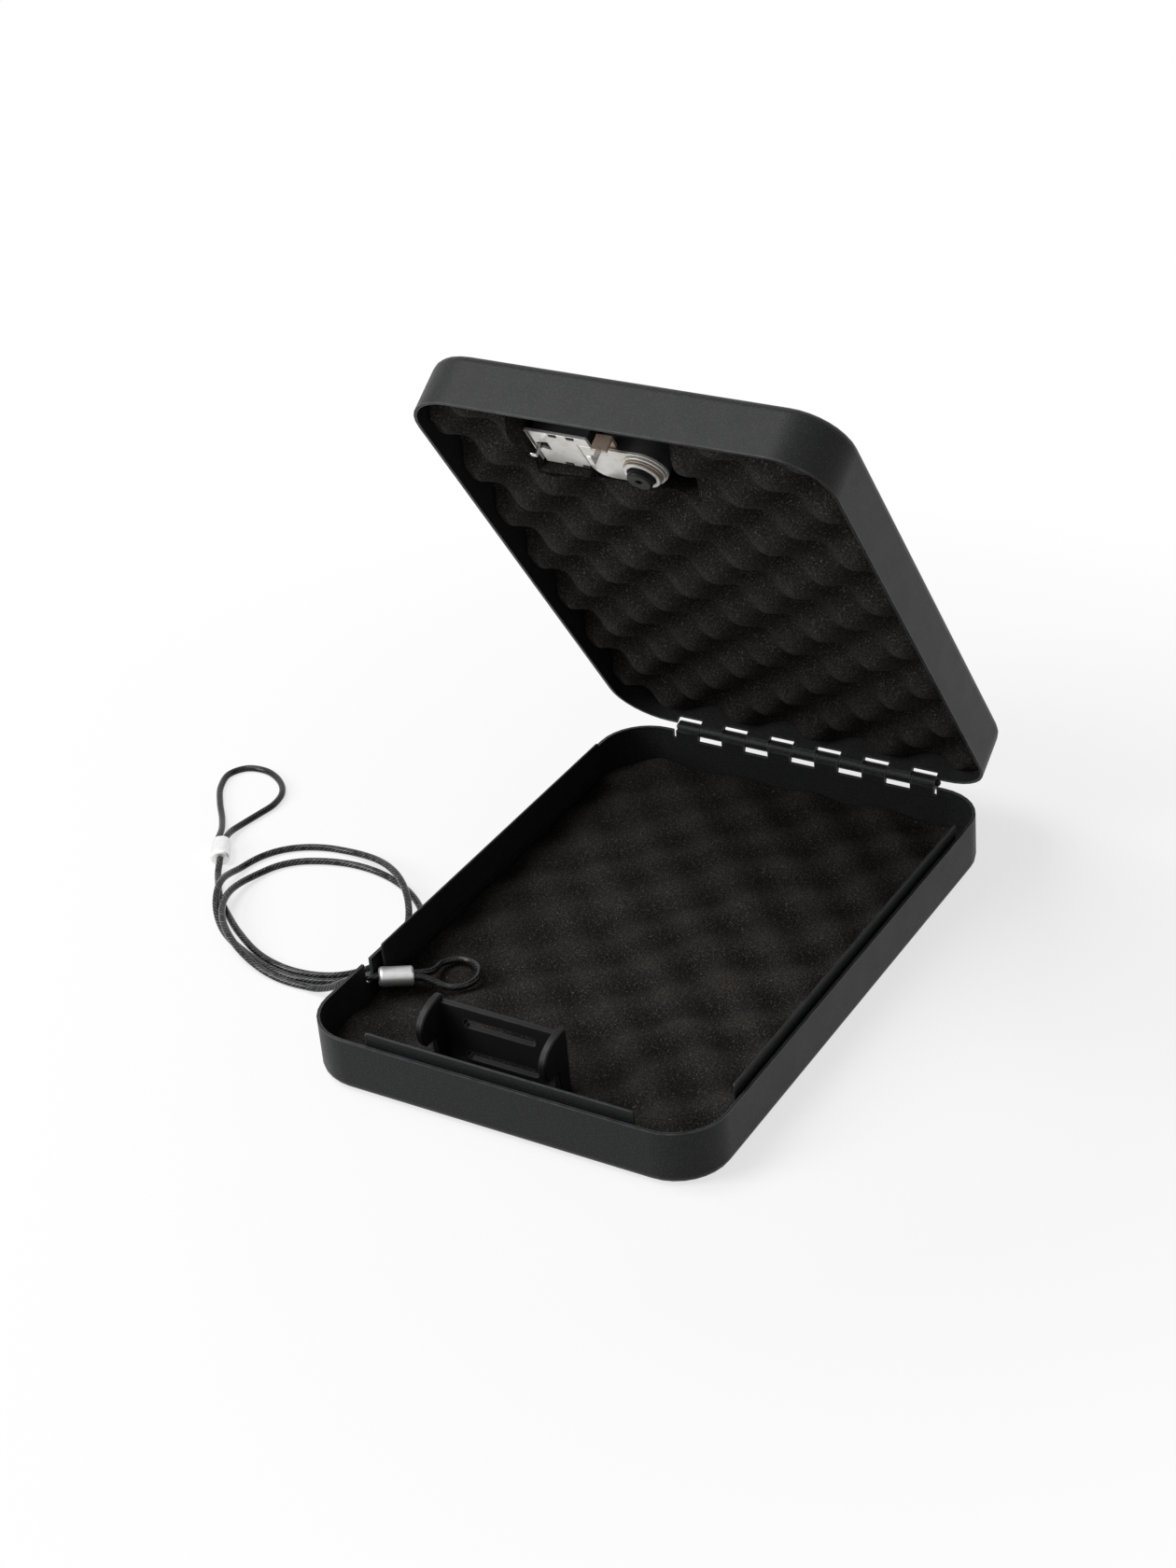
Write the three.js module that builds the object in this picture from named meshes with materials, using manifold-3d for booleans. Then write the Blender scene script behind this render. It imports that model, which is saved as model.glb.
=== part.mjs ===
// Portable car safe: a pressed steel tray and lid on a rolled hinge, a number lock in the lid,
// a moulded catch in the tray and a steel security cable. Millimetres, +Z up.
// The origin is the middle of the tray's underside. X runs along the hinge, +Y towards it.
import * as THREE from 'three';
import { mergeVertices } from 'three/addons/utils/BufferGeometryUtils.js';
import Module from 'manifold-3d';

const wasm = await Module();
wasm.setup();

// Steel shells
const caseLength = 241;
const caseWidth = 166;
const trayHeight = 22;
const lidHeight = 21.4;
const sheet = 1.2;
const cornerRadius = 20.5;
const bendRadius = 4;
const seam = 0.3;
const cornerSteps = 8;
const bendSteps = 4;

// Rolled hinge
const lidOpenAngle = 55.8;
const knuckleCount = 11;
const knucklePitch = 10.6;
const knuckleGap = 0.35;
const knuckleRadius = 2.7;
const pinRadius = 1.5;
const pinClearance = 0.1;
const pinOverhang = 1;
const pinStandoff = 2.5;
const neckDrop = 4.35;
const trayCutDepth = 3.45;
const lidCutHeight = 2.9;
const reliefWidth = 1.2;
const neckTuck = 0.5;
const neckRoot = 1.8;
const pinDome = 0.5;
const pinChamfer = 0.45;

// Lips that stand inside the rim and close the seam
const lipSheet = 1;
const lipOffset = 1.6;
const lipRise = 4;
const lipFootZ = 8.9;
const lipJoggleZ = 11.4;
const lipEndRadius = 1;
const lipJogSheet = 0.4;
const frontLipInset = { left: 29, right: 27 };
const rightLipInset = { front: 30.5, back: 28.5 };
const leftLipInset = { front: 52.5, back: 28.5 };
const seat = 0.15;

// Foam lining
const foamSide = 0.4;
const trayFoamTop = 7.3;
const trayWave = 0.7;
const lidFoamMiddle = 7.4;
const lidWave = 4.4;
const waveCell = { x: 16.5, y: 16 };
const waveCentre = { x: -62, y: 66 };
const lidWaveSteps = { x: 3, y: 2 };
const trayWaveSteps = { x: 2, y: 2 };
const lipRoom = 0.9;
const pocketRoom = 1.2;

// Moulded catch in the tray
const catchLeft = -38.5;
const catchRight = 15.5;
const catchCheek = 3;
const catchWall = 2.5;
const catchSetback = 27.3;
const catchTop = 30.7;
const catchNose = 15.2;
const cheekBottom = 17.6;
const cheekTop = 33;
const cheekChamfer = { back: 1, down: 0.5 };
const cheekCrown = { front: 7.8, nose: 1.3, down: 2.2 };
const cheekBrow = 7;
const cheekChin = { nose: 0.5, down: 10, back: 1, up: 2 };
const cheekLip = 2.6;
const cheekHeel = { top: 6.4, foot: 5.4 };
const cheekEdge = 0.5;
const catchFootDepth = 13;
const catchFoot = 2;
const catchSlot = { from: -26, to: 4, height: 3.6, squareness: 0.3 };
const upperSlotZ = 24.4;
const lowerSlotZ = 10.6;
const rivetRadius = 2;
const rivetHeadRadius = 3.2;
const rivetHead = 1.1;
const rivetPlaces = [-30, 7];
const rivetForward = 7.5;
const rivetClearance = 0.1;

// Number lock in the lid
const gap = 0.3;
const plateDrop = 10.8;
const plateSheet = 1.2;
const plateLeft = -46;
const plateSplit = -27;
const lockSetback = 29.5;
const plateDepth = 19.8;
const tongueEnd = -22;
const discSetback = 34;
const discDepth = 19.5;
const discCorner = 7;
const discShoulder = { near: 4, far: 8, end: 12 };
const caseInset = 0.4;
const plateNotches = [-36.2, -29];
const notchWidth = 3.4;
const notchDepth = 1.6;
const bezelSheet = 1.6;
const bezelLength = 54;
const bezelWidth = 27;
const bezelCorner = 7;
const wheelRadius = 6;
const wheelWidth = 4.4;
const wheelPitch = 6;
const wheelFirst = -38.2;
const wheelCount = 3;
const wheelSetback = 41;
const wheelRoom = 0.4;
const wheelProud = 0.9;
const wheelScallop = 0.35;
const wheelEdge = 0.3;
const wheelDigits = 10;
const axleRadius = 1.1;
const axleReach = 2;
const runningGap = 0.1;
const detentSheet = 0.3;
const detentFoot = 1.6;
const detentLift = 1.8;
const detentLeaf = 1.3;
const postRadius = 2.3;
const postX = -20.7;
const postSetbacks = [47.9, 36.3];
const postSeat = 2;
const screwRadius = 1;
const screwHeadRadius = 1.9;
const screwHead = 1.2;
const screwLength = 6;
const screwBite = 4;
const flangeEdge = 0.3;
const flangeRight = 3.6;

// Opening button and the latch that it drives
const buttonX = -3.2;
const buttonSetback = 42.7;
const buttonRadius = 6;
const buttonEdge = 0.6;
const buttonDish = { rim: 2, half: 0.25 };
const buttonRoom = 0.5;
const springSeat = 1;
const buttonRise = 3.6;
const buttonTravel = 3;
const buttonHead = 4;
const stemRadius = 3;
const bossRadius = 5;
const bossLength = 5;
const bossSink = 0.7;
const bossEdge = 0.5;
const bossBore = 1.3;
const bossBoreDepth = 2.4;
const stemSink = 1.5;
const ringStack = [
  { name: 'button_collar', radius: 8.3, hole: 6.6, thickness: 0.8, colour: 0xcfccc4 },
  { name: 'button_washer', radius: 7.6, hole: 6.2, thickness: 0.5, colour: 0x8a5a38 },
  { name: 'button_nut', radius: 7.0, hole: 5.6, thickness: 1.0, colour: 0xc4c1ba },
];
const springTurns = 3;
const springWire = 0.5;
const springStandoff = 1.2;
const hookLeft = -18.6;
const hookRight = -12.2;
const hookSheet = 1.4;
const hookSetback = 28.5;
const hookBite = 3.9;
const hookNose = { back: 1.2, down: 0.7, tuck: 0.6 };
const hookTail = 14;
const hookBracket = 3.2;
const hookProng = 1.8;
const hookDeck = 0.2;
const latchSide = 0.5;
const latchTravel = 3;
const leverX = -44.2;
const leverSetback = 38.1;
const leverWidth = 2;
const leverSheet = 1;
const leverReach = 3.8;
const leverFoot = 1.6;
const leverFootSheet = 0.8;
const leverHead = 0.6;
const leverTravel = 2.5;
const leverSlot = { end: 0.8, side: 0.5, front: 1, back: 1.4 };

// Security cable: diameter, ferrules and notch
const cableRadius = 1.4;
const cableFace = 0.3;
const ferruleLength = 13;
const ferruleWidth = 8;
const ferruleHeight = 7;
const ferruleEdge = 0.6;
const strandGap = 0.15;
const notchSetback = 45.6;
const notchWide = 4.4;
const notchFloor = 12.8;

// Cable coil on the floor: an oval ring of loose turns
const coilCentre = { x: -135.5, y: -33.4 };
const coilHalf = { x: 45, y: 41 };
const coilLean = -0.35;
const coilStart = 225;
const coilEnd = 990;
const coilFloor = 1.6;
const coilInset = 6.5;
const coilShifts = [
  { from: 344, over: 120, outward: 10.8 },
  { from: 480, over: 80, outward: -1.9 },
  { from: 554, over: 50, outward: -5.2 },
  { from: 680, over: 70, outward: 5.2 },
  { from: 745, over: 90, outward: -7.4 },
  { from: 870, over: 75, outward: 5.5 },
];
const coilHump = 4.6;
const coilHumps = [{ middle: 410, half: 50 }, { middle: 544, half: 32 }, { middle: 928, half: 64 }];

// Worked out from the sizes above
const halfX = caseWidth / 2;
const halfY = caseLength / 2;
const innerX = halfX - sheet;
const innerY = halfY - sheet;
const frontY = -halfY;
const catchBack = frontY + catchSetback;
const notchY = frontY + notchSetback;
const lidRim = trayHeight + seam;
const lidTop = lidRim + lidHeight;
const lidCeiling = lidTop - sheet;
const hingeY = halfY + pinStandoff;
const hingeZ = trayHeight + seam / 2;
const boreRadius = pinRadius + pinClearance;
const hingeSpan = knuckleCount * knucklePitch;
const plateFace = trayHeight + plateDrop;
const plateTop = plateFace + plateSheet;
const lockFloor = plateTop + gap;
const lockCeiling = lidCeiling - gap;
const bezelBottom = lidTop + gap;
const bezelTop = bezelBottom + bezelSheet;
const wheelZ = bezelTop + wheelProud - wheelRadius;
const plateFront = frontY + lockSetback;
const plateBack = plateFront + plateDepth;
const discFront = frontY + discSetback;
const discBack = discFront + discDepth;
const wheelY = frontY + wheelSetback;
const wheelsLeft = wheelFirst - wheelWidth / 2;
const wheelsRight = wheelFirst + (wheelCount - 1) * wheelPitch + wheelWidth / 2;
const postYs = postSetbacks.map((setback) => frontY + setback);
const buttonY = frontY + buttonSetback;
const hookFront = frontY + hookSetback;
const leverY = frontY + leverSetback;

function radians(degrees) {
  return degrees * Math.PI / 180;
}

// Solids: a closed mesh with merged corners, its faces pointing out
function closedGeometry(geometry) {
  const bare = new THREE.BufferGeometry();
  bare.setAttribute('position', geometry.getAttribute('position'));
  if (geometry.index) {
    bare.setIndex(geometry.index);
  }
  const merged = mergeVertices(bare, 1e-4);
  const place = merged.getAttribute('position');
  const corners = merged.index.array;
  const kept = [];
  let volume = 0;
  const a = new THREE.Vector3();
  const b = new THREE.Vector3();
  const c = new THREE.Vector3();
  for (let i = 0; i < corners.length; i += 3) {
    const [p, q, r] = [corners[i], corners[i + 1], corners[i + 2]];
    if (p === q || q === r || r === p) {
      continue;
    }
    kept.push(p, q, r);
    a.fromBufferAttribute(place, p);
    b.fromBufferAttribute(place, q);
    c.fromBufferAttribute(place, r);
    volume += a.dot(b.cross(c));
  }
  if (volume < 0) {
    kept.reverse();
  }
  merged.setIndex(kept);
  return merged;
}

function solidOf(geometry) {
  const closed = closedGeometry(geometry);
  return new wasm.Manifold(new wasm.Mesh({
    numProp: 3,
    vertProperties: new Float32Array(closed.getAttribute('position').array),
    triVerts: new Uint32Array(closed.index.array),
  }));
}

function geometryOf(solid) {
  const mesh = solid.getMesh();
  const geometry = new THREE.BufferGeometry();
  geometry.setAttribute('position', new THREE.BufferAttribute(new Float32Array(mesh.vertProperties), 3));
  geometry.setIndex(new THREE.BufferAttribute(new Uint32Array(mesh.triVerts), 1));
  const flat = geometry.toNonIndexed();
  flat.computeVertexNormals();
  return flat;
}

function joined(solids) {
  return solids.reduce((whole, next) => whole.add(next));
}

function cut(solid, tools) {
  return tools.reduce((whole, tool) => whole.subtract(tool), solid);
}

// Basic forms, each as a solid
function block(x0, x1, y0, y1, z0, z1) {
  const box = new THREE.BoxGeometry(x1 - x0, y1 - y0, z1 - z0);
  box.translate((x0 + x1) / 2, (y0 + y1) / 2, (z0 + z1) / 2);
  return solidOf(box);
}

function polygon(points) {
  return new THREE.Shape(points.map(([x, y]) => new THREE.Vector2(x, y)));
}

// A shape in X and Y, standing from z0 to z1
function plate(shape, z0, z1, curveSegments = 10) {
  const slab = new THREE.ExtrudeGeometry(shape, { depth: z1 - z0, bevelEnabled: false, curveSegments });
  slab.translate(0, 0, z0);
  return solidOf(slab);
}

// A shape in X and Z, running from y0 to y1
function panel(shape, y0, y1, curveSegments = 6) {
  const slab = new THREE.ExtrudeGeometry(shape, { depth: y1 - y0, bevelEnabled: false, curveSegments });
  slab.rotateX(Math.PI / 2);
  slab.translate(0, y1, 0);
  return solidOf(slab);
}

// A shape in Y and Z, running from x0 to x1
function bar(shape, x0, x1, bevel = 0, curveSegments = 8) {
  const length = x1 - x0;
  const run = new THREE.ExtrudeGeometry(shape, {
    depth: length - 2 * bevel,
    bevelEnabled: bevel > 0,
    bevelThickness: bevel,
    bevelSize: bevel,
    bevelOffset: -bevel,
    bevelSegments: 1,
    curveSegments,
  });
  run.translate(0, 0, bevel);
  run.applyMatrix4(new THREE.Matrix4().set(0, 0, 1, x0, 1, 0, 0, 0, 0, 1, 0, 0, 0, 0, 0, 1));
  return solidOf(run);
}

// A round profile of [radius, z] points about an upright axis at x, y
function turned(profile, x, y, segments = 20) {
  const lathe = new THREE.LatheGeometry(profile.map(([r, z]) => new THREE.Vector2(r, z)), segments);
  lathe.rotateX(Math.PI / 2);
  lathe.translate(x, y, 0);
  return solidOf(lathe);
}

function cylinder(x, y, radius, z0, z1, segments = 20) {
  return turned([[0, z0], [radius, z0], [radius, z1], [0, z1]], x, y, segments);
}

// A rod along X
function rod(y, z, radius, x0, x1, segments = 16) {
  const round = new THREE.CylinderGeometry(radius, radius, x1 - x0, segments);
  round.rotateZ(Math.PI / 2);
  round.translate((x0 + x1) / 2, y, z);
  return solidOf(round);
}

function roundedRectangle(x0, x1, y0, y1, radius) {
  const shape = new THREE.Shape();
  shape.moveTo(x0 + radius, y0);
  shape.lineTo(x1 - radius, y0);
  shape.absarc(x1 - radius, y0 + radius, radius, -Math.PI / 2, 0);
  shape.lineTo(x1, y1 - radius);
  shape.absarc(x1 - radius, y1 - radius, radius, 0, Math.PI / 2);
  shape.lineTo(x0 + radius, y1);
  shape.absarc(x0 + radius, y1 - radius, radius, Math.PI / 2, Math.PI);
  shape.lineTo(x0, y0 + radius);
  shape.absarc(x0 + radius, y0 + radius, radius, Math.PI, 1.5 * Math.PI);
  return shape;
}

// An oval with round ends, as wide and high as twice its reaches
function stadium(reachX, reachY) {
  const middle = reachX - reachY;
  const shape = new THREE.Shape();
  shape.moveTo(-middle, -reachY);
  shape.lineTo(middle, -reachY);
  shape.absarc(middle, 0, reachY, -Math.PI / 2, Math.PI / 2);
  shape.lineTo(-middle, reachY);
  shape.absarc(-middle, 0, reachY, Math.PI / 2, 1.5 * Math.PI);
  return shape;
}

// Pressed pans: rounded rectangles lofted through the bend
function panRing(reachX, reachY, radius, z) {
  const ring = [];
  for (const [sideX, sideY, start] of [[1, 1, 0], [-1, 1, 90], [-1, -1, 180], [1, -1, 270]]) {
    for (let i = 0; i <= cornerSteps; i += 1) {
      const angle = radians(start + 90 * i / cornerSteps);
      const x = sideX * (reachX - radius) + radius * Math.cos(angle);
      const y = sideY * (reachY - radius) + radius * Math.sin(angle);
      ring.push([x, y, z]);
    }
  }
  return ring;
}

function loft(rings) {
  const count = rings[0].length;
  const points = rings.flat();
  const faces = [];
  for (let level = 0; level + 1 < rings.length; level += 1) {
    for (let i = 0; i < count; i += 1) {
      const near = level * count + i;
      const next = level * count + (i + 1) % count;
      faces.push(near, next, next + count, near, next + count, near + count);
    }
  }
  const first = points.length;
  const last = first + 1;
  points.push([0, 0, rings[0][0][2]], [0, 0, rings[rings.length - 1][0][2]]);
  const top = (rings.length - 1) * count;
  for (let i = 0; i < count; i += 1) {
    const next = (i + 1) % count;
    faces.push(first, next, i);
    faces.push(last, top + i, top + next);
  }
  const geometry = new THREE.BufferGeometry();
  geometry.setAttribute('position', new THREE.Float32BufferAttribute(points.flat(), 3));
  geometry.setIndex(faces);
  return solidOf(geometry);
}

function pan(inset, closedZ, openZ) {
  const up = Math.sign(openZ - closedZ);
  const bend = bendRadius - inset;
  const rings = [];
  for (let i = 0; i <= bendSteps; i += 1) {
    const angle = Math.PI / 2 * i / bendSteps;
    const drawn = inset + bend * (1 - Math.sin(angle));
    const z = closedZ + up * bend * (1 - Math.cos(angle));
    rings.push(panRing(halfX - drawn, halfY - drawn, cornerRadius - drawn, z));
  }
  rings.push(panRing(halfX - inset, halfY - inset, cornerRadius - inset, openZ));
  return loft(rings);
}

function prism(inset, z0, z1) {
  const reach = [halfX - inset, halfY - inset, cornerRadius - inset];
  return loft([panRing(...reach, z0), panRing(...reach, z1)]);
}

// Foam: a grid of egg-crate waves over a flat base
function waveAt(x, y) {
  const alongX = Math.cos(Math.PI * (x - waveCentre.x) / waveCell.x);
  const alongY = Math.cos(Math.PI * (y - waveCentre.y) / waveCell.y);
  return alongX * alongY;
}

function waveBlock(steps, baseZ, surface) {
  const stepX = waveCell.x / steps.x;
  const stepY = waveCell.y / steps.y;
  const xs = [];
  const ys = [];
  for (let i = Math.floor((-halfX - waveCentre.x) / stepX); waveCentre.x + (i - 1) * stepX < halfX; i += 1) {
    xs.push(waveCentre.x + i * stepX);
  }
  for (let i = Math.floor((-halfY - waveCentre.y) / stepY); waveCentre.y + (i - 1) * stepY < halfY; i += 1) {
    ys.push(waveCentre.y + i * stepY);
  }
  const points = [];
  const faces = [];
  const at = (i, j) => j * xs.length + i;
  for (const y of ys) {
    for (const x of xs) {
      points.push([x, y, surface(x, y)]);
    }
  }
  for (let j = 0; j + 1 < ys.length; j += 1) {
    for (let i = 0; i + 1 < xs.length; i += 1) {
      faces.push(at(i, j), at(i + 1, j), at(i + 1, j + 1), at(i, j), at(i + 1, j + 1), at(i, j + 1));
    }
  }
  const rim = [];
  for (let i = 0; i + 1 < xs.length; i += 1) {
    rim.push(at(i, 0));
  }
  for (let j = 0; j + 1 < ys.length; j += 1) {
    rim.push(at(xs.length - 1, j));
  }
  for (let i = xs.length - 1; i > 0; i -= 1) {
    rim.push(at(i, ys.length - 1));
  }
  for (let j = ys.length - 1; j > 0; j -= 1) {
    rim.push(at(0, j));
  }
  const base = points.length;
  for (const corner of rim) {
    points.push([points[corner][0], points[corner][1], baseZ]);
  }
  const hub = points.length;
  points.push([0, 0, baseZ]);
  for (let i = 0; i < rim.length; i += 1) {
    const next = (i + 1) % rim.length;
    faces.push(rim[i], base + i, base + next, rim[i], base + next, rim[next]);
    faces.push(hub, base + next, base + i);
  }
  const geometry = new THREE.BufferGeometry();
  geometry.setAttribute('position', new THREE.Float32BufferAttribute(points.flat(), 3));
  geometry.setIndex(faces);
  return solidOf(geometry);
}

// Hinge: knuckles rolled from the tray wall and the lid wall in turn
function knuckleCentre(index) {
  return (index - (knuckleCount - 1) / 2) * knucklePitch;
}

function knuckles(first, side) {
  const solids = [];
  const wall = hingeY - pinStandoff;
  const neck = polygon([
    [wall - sheet / 2, hingeZ + side * neckDrop],
    [wall - sheet / 2, hingeZ],
    [hingeY - boreRadius - neckTuck, hingeZ],
    [hingeY - boreRadius, hingeZ + side * neckRoot],
    [wall, hingeZ + side * neckDrop],
  ]);
  for (let i = first; i < knuckleCount; i += 2) {
    const x = knuckleCentre(i);
    const reach = (knucklePitch - knuckleGap) / 2;
    const barrel = rod(hingeY, hingeZ, knuckleRadius, x - reach, x + reach, 16);
    solids.push(barrel.add(bar(neck, x - reach, x + reach)));
  }
  return cut(joined(solids), [rod(hingeY, hingeZ, boreRadius, -hingeSpan, hingeSpan, 12)]);
}

function knuckleCuts(first, z0, z1) {
  const cuts = [];
  for (let i = first; i < knuckleCount; i += 2) {
    const x = knuckleCentre(i);
    const reach = knucklePitch / 2 + knuckleGap / 2;
    cuts.push(block(x - reach, x + reach, innerY - sheet, halfY + sheet, z0, z1));
  }
  return cuts;
}

function hingePin() {
  const reach = hingeSpan / 2 + pinOverhang;
  const profile = [[0, -reach - pinDome], [pinRadius - pinChamfer, -reach], [pinRadius, -reach + pinDome]];
  const outline = [...profile, ...profile.map(([r, z]) => [r, -z]).reverse()];
  const lathe = new THREE.LatheGeometry(outline.map(([r, z]) => new THREE.Vector2(r, z)), 16);
  lathe.rotateZ(Math.PI / 2);
  lathe.translate(0, hingeY, hingeZ);
  return solidOf(lathe);
}

// Tray
function rivetHoles(z0, z1) {
  return rivetPlaces.map((x) => cylinder(x, catchBack - rivetForward, rivetRadius + rivetClearance, z0, z1));
}

function trayShell() {
  const shell = pan(0, 0, trayHeight).subtract(pan(sheet, sheet, trayHeight + sheet));
  const cutTop = trayHeight + sheet;
  const tabEnd = hingeSpan / 2;
  const notch = new THREE.Shape();
  notch.absarc(notchY, notchFloor + notchWide / 2, notchWide / 2, Math.PI, 2 * Math.PI);
  notch.lineTo(notchY + notchWide / 2, cutTop);
  notch.lineTo(notchY - notchWide / 2, cutTop);
  const cuts = [
    ...knuckleCuts(1, trayHeight - trayCutDepth, cutTop),
    block(tabEnd, tabEnd + reliefWidth, innerY - sheet, halfY + sheet, trayHeight - trayCutDepth, cutTop),
    block(-tabEnd - reliefWidth, -tabEnd, innerY - sheet, halfY + sheet, trayHeight - trayCutDepth, cutTop),
    bar(notch, -halfX - sheet, -innerX + sheet),
    ...rivetHoles(-sheet, 2 * sheet),
  ];
  return cut(shell, cuts).add(knuckles(0, -1));
}

// A lip is a joggled strip: its foot lies on the wall, its blade stands clear of it
function lipProfile(reach) {
  const foot = reach - seat;
  const blade = reach - lipOffset;
  const jog = lipOffset - seat;
  const top = trayHeight + lipRise;
  return polygon([
    [foot, lipFootZ],
    [foot, lipJoggleZ],
    [blade, lipJoggleZ + jog],
    [blade, top],
    [blade - lipSheet, top],
    [blade - lipSheet, lipJoggleZ + jog - lipJogSheet],
    [foot - lipSheet, lipJoggleZ - lipJogSheet],
    [foot - lipSheet, lipFootZ],
  ]);
}

function lipFace(from, to) {
  const top = trayHeight + lipRise;
  const face = new THREE.Shape();
  face.moveTo(from, 0);
  face.lineTo(to, 0);
  face.lineTo(to, top - lipEndRadius);
  face.absarc(to - lipEndRadius, top - lipEndRadius, lipEndRadius, 0, Math.PI / 2);
  face.absarc(from + lipEndRadius, top - lipEndRadius, lipEndRadius, Math.PI / 2, Math.PI);
  return face;
}

// A strip of wall lip standing at +reach in Y and running along X
function lip(reach, from, to) {
  const strip = bar(lipProfile(reach), from, to);
  return strip.intersect(panel(lipFace(from, to), 0, 2 * reach));
}

function frontLip() {
  const { left, right } = frontLipInset;
  return lip(innerY, right - halfX, halfX - left).rotate([0, 0, 180]);
}

function rightLip() {
  const { front, back } = rightLipInset;
  return lip(innerX, back - halfY, halfY - front).rotate([0, 0, -90]);
}

function leftLip() {
  const { front, back } = leftLipInset;
  return lip(innerX, front - halfY, halfY - back).rotate([0, 0, 90]);
}

function trayFoam() {
  const base = sheet + seat;
  const body = pan(sheet + foamSide, base, trayFoamTop + 2 * trayWave);
  const waves = waveBlock(trayWaveSteps, base - 1, (x, y) => trayFoamTop - trayWave * waveAt(x, y));
  const front = catchBack - catchFootDepth - gap;
  const sides = [catchLeft - gap, catchRight + gap];
  return cut(body.intersect(waves), [
    block(...sides, front, catchBack + gap, base - 1, base + catchFoot + rivetHead + gap),
    block(...sides, catchBack - catchFootDepth / 2, catchBack + gap, base - 1, trayFoamTop + 2 * trayWave),
  ]);
}

// Catch: an open-fronted bracket with a slotted wall between two cheeks
function catchBracket() {
  const floor = sheet + seat;
  const front = catchBack - catchFootDepth;
  const wall = block(catchLeft, catchRight, catchBack - catchWall, catchBack, floor, catchTop);
  const foot = block(catchLeft, catchRight, front, catchBack, floor, floor + catchFoot);
  const nose = catchBack - catchNose;
  const cheek = new THREE.Shape();
  cheek.moveTo(catchBack, floor);
  cheek.lineTo(catchBack, cheekTop - cheekChamfer.down);
  cheek.lineTo(catchBack - cheekChamfer.back, cheekTop);
  cheek.bezierCurveTo(
    catchBack - cheekCrown.front, cheekTop,
    nose + cheekCrown.nose, cheekTop - cheekCrown.down,
    nose, cheekTop - cheekBrow,
  );
  cheek.bezierCurveTo(
    nose - cheekChin.nose, cheekTop - cheekChin.down,
    nose + cheekChin.back, cheekBottom + cheekChin.up,
    nose + cheekLip, cheekBottom,
  );
  cheek.lineTo(catchBack - cheekHeel.top, cheekBottom);
  cheek.lineTo(catchBack - cheekHeel.foot, floor);
  const cheeks = [
    bar(cheek, catchLeft, catchLeft + catchCheek, cheekEdge, 6),
    bar(cheek, catchRight - catchCheek, catchRight, cheekEdge, 6),
  ];
  const slots = [upperSlotZ, lowerSlotZ].map((z) => {
    const { from, to, height, squareness } = catchSlot;
    const half = height / 2;
    const mouth = roundedRectangle(from, to, z - half, z + half, half - squareness);
    return panel(mouth, catchBack - 3 * catchWall, catchBack + catchWall, 4);
  });
  return cut(joined([wall, foot, ...cheeks]), [...slots, ...rivetHoles(0, floor + 2 * catchFoot)]);
}

function catchRivet(x) {
  const seatZ = sheet + seat + catchFoot + seat;
  return turned([
    [0, 0],
    [rivetRadius, 0],
    [rivetRadius, seatZ],
    [rivetHeadRadius, seatZ],
    [rivetHeadRadius * 0.8, seatZ + rivetHead * 0.7],
    [rivetHeadRadius * 0.4, seatZ + rivetHead],
    [0, seatZ + rivetHead],
  ], x, catchBack - rivetForward, 16);
}

// Lock outlines, as seen from inside the lid
function squarePlateShape(inset) {
  const shape = new THREE.Shape();
  shape.moveTo(plateLeft + inset, plateFront + inset);
  shape.lineTo(tongueEnd - inset, plateFront + inset);
  shape.lineTo(tongueEnd - inset, discFront - gap - inset);
  shape.lineTo(plateSplit - gap - inset, discFront - gap - inset);
  shape.lineTo(plateSplit - gap - inset, plateBack - inset);
  shape.lineTo(plateLeft + inset, plateBack - inset);
  return shape;
}

function discPlateShape() {
  const round = buttonY - discFront;
  const shape = new THREE.Shape();
  shape.moveTo(plateSplit, discFront);
  shape.lineTo(buttonX, discFront);
  shape.absarc(buttonX, buttonY, round, -Math.PI / 2, Math.PI / 2);
  const { near, far, end } = discShoulder;
  shape.bezierCurveTo(buttonX - near, buttonY + round, buttonX - far, discBack, buttonX - end, discBack);
  shape.lineTo(plateSplit + discCorner, discBack);
  shape.absarc(plateSplit + discCorner, discBack - discCorner, discCorner, Math.PI / 2, Math.PI);
  return shape;
}

function lockPlate() {
  const cuts = [];
  for (const x of plateNotches) {
    const [x0, x1] = [x - notchWidth / 2, x + notchWidth / 2];
    cuts.push(block(x0, x1, plateFront - 1, plateFront + notchDepth, plateFace - 1, plateTop + 1));
    cuts.push(block(x0, x1, plateBack - notchDepth, plateBack + 1, plateFace - 1, plateTop + 1));
  }
  const left = leverX - leverSheet / 2 - leverSlot.end;
  const right = leverX + leverSheet / 2 + leverTravel + leverSlot.end;
  const narrow = leverWidth / 2 + leverSlot.side;
  const slot = polygon([
    [left, leverY - narrow],
    [right, leverY - narrow - leverSlot.front],
    [right, leverY + narrow + leverSlot.back],
    [left, leverY + narrow],
  ]);
  cuts.push(plate(slot, plateFace - 1, plateTop + 1));
  return cut(plate(squarePlateShape(0), plateFace, plateTop), cuts);
}

function discPlate() {
  return plate(discPlateShape(), plateFace, plateTop)
    .subtract(cylinder(buttonX, buttonY, stemRadius + gap, plateFace - 1, plateTop + 1));
}

function wheelCentre(index) {
  return wheelFirst + index * wheelPitch;
}

function wheelSlots(room, z0, z1) {
  const slots = [];
  for (let i = 0; i < wheelCount; i += 1) {
    const half = wheelWidth / 2 + gap;
    slots.push(block(wheelCentre(i) - half, wheelCentre(i) + half, wheelY - room, wheelY + room, z0, z1));
  }
  return slots;
}

function latchChannel() {
  const back = hookFront + hookTail + latchTravel + latchSide;
  const roof = lockFloor + hookDeck + hookSheet + latchSide;
  return block(hookLeft - latchSide, hookRight + latchSide, discFront - 1, back, lockFloor - 1, roof);
}

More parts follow.
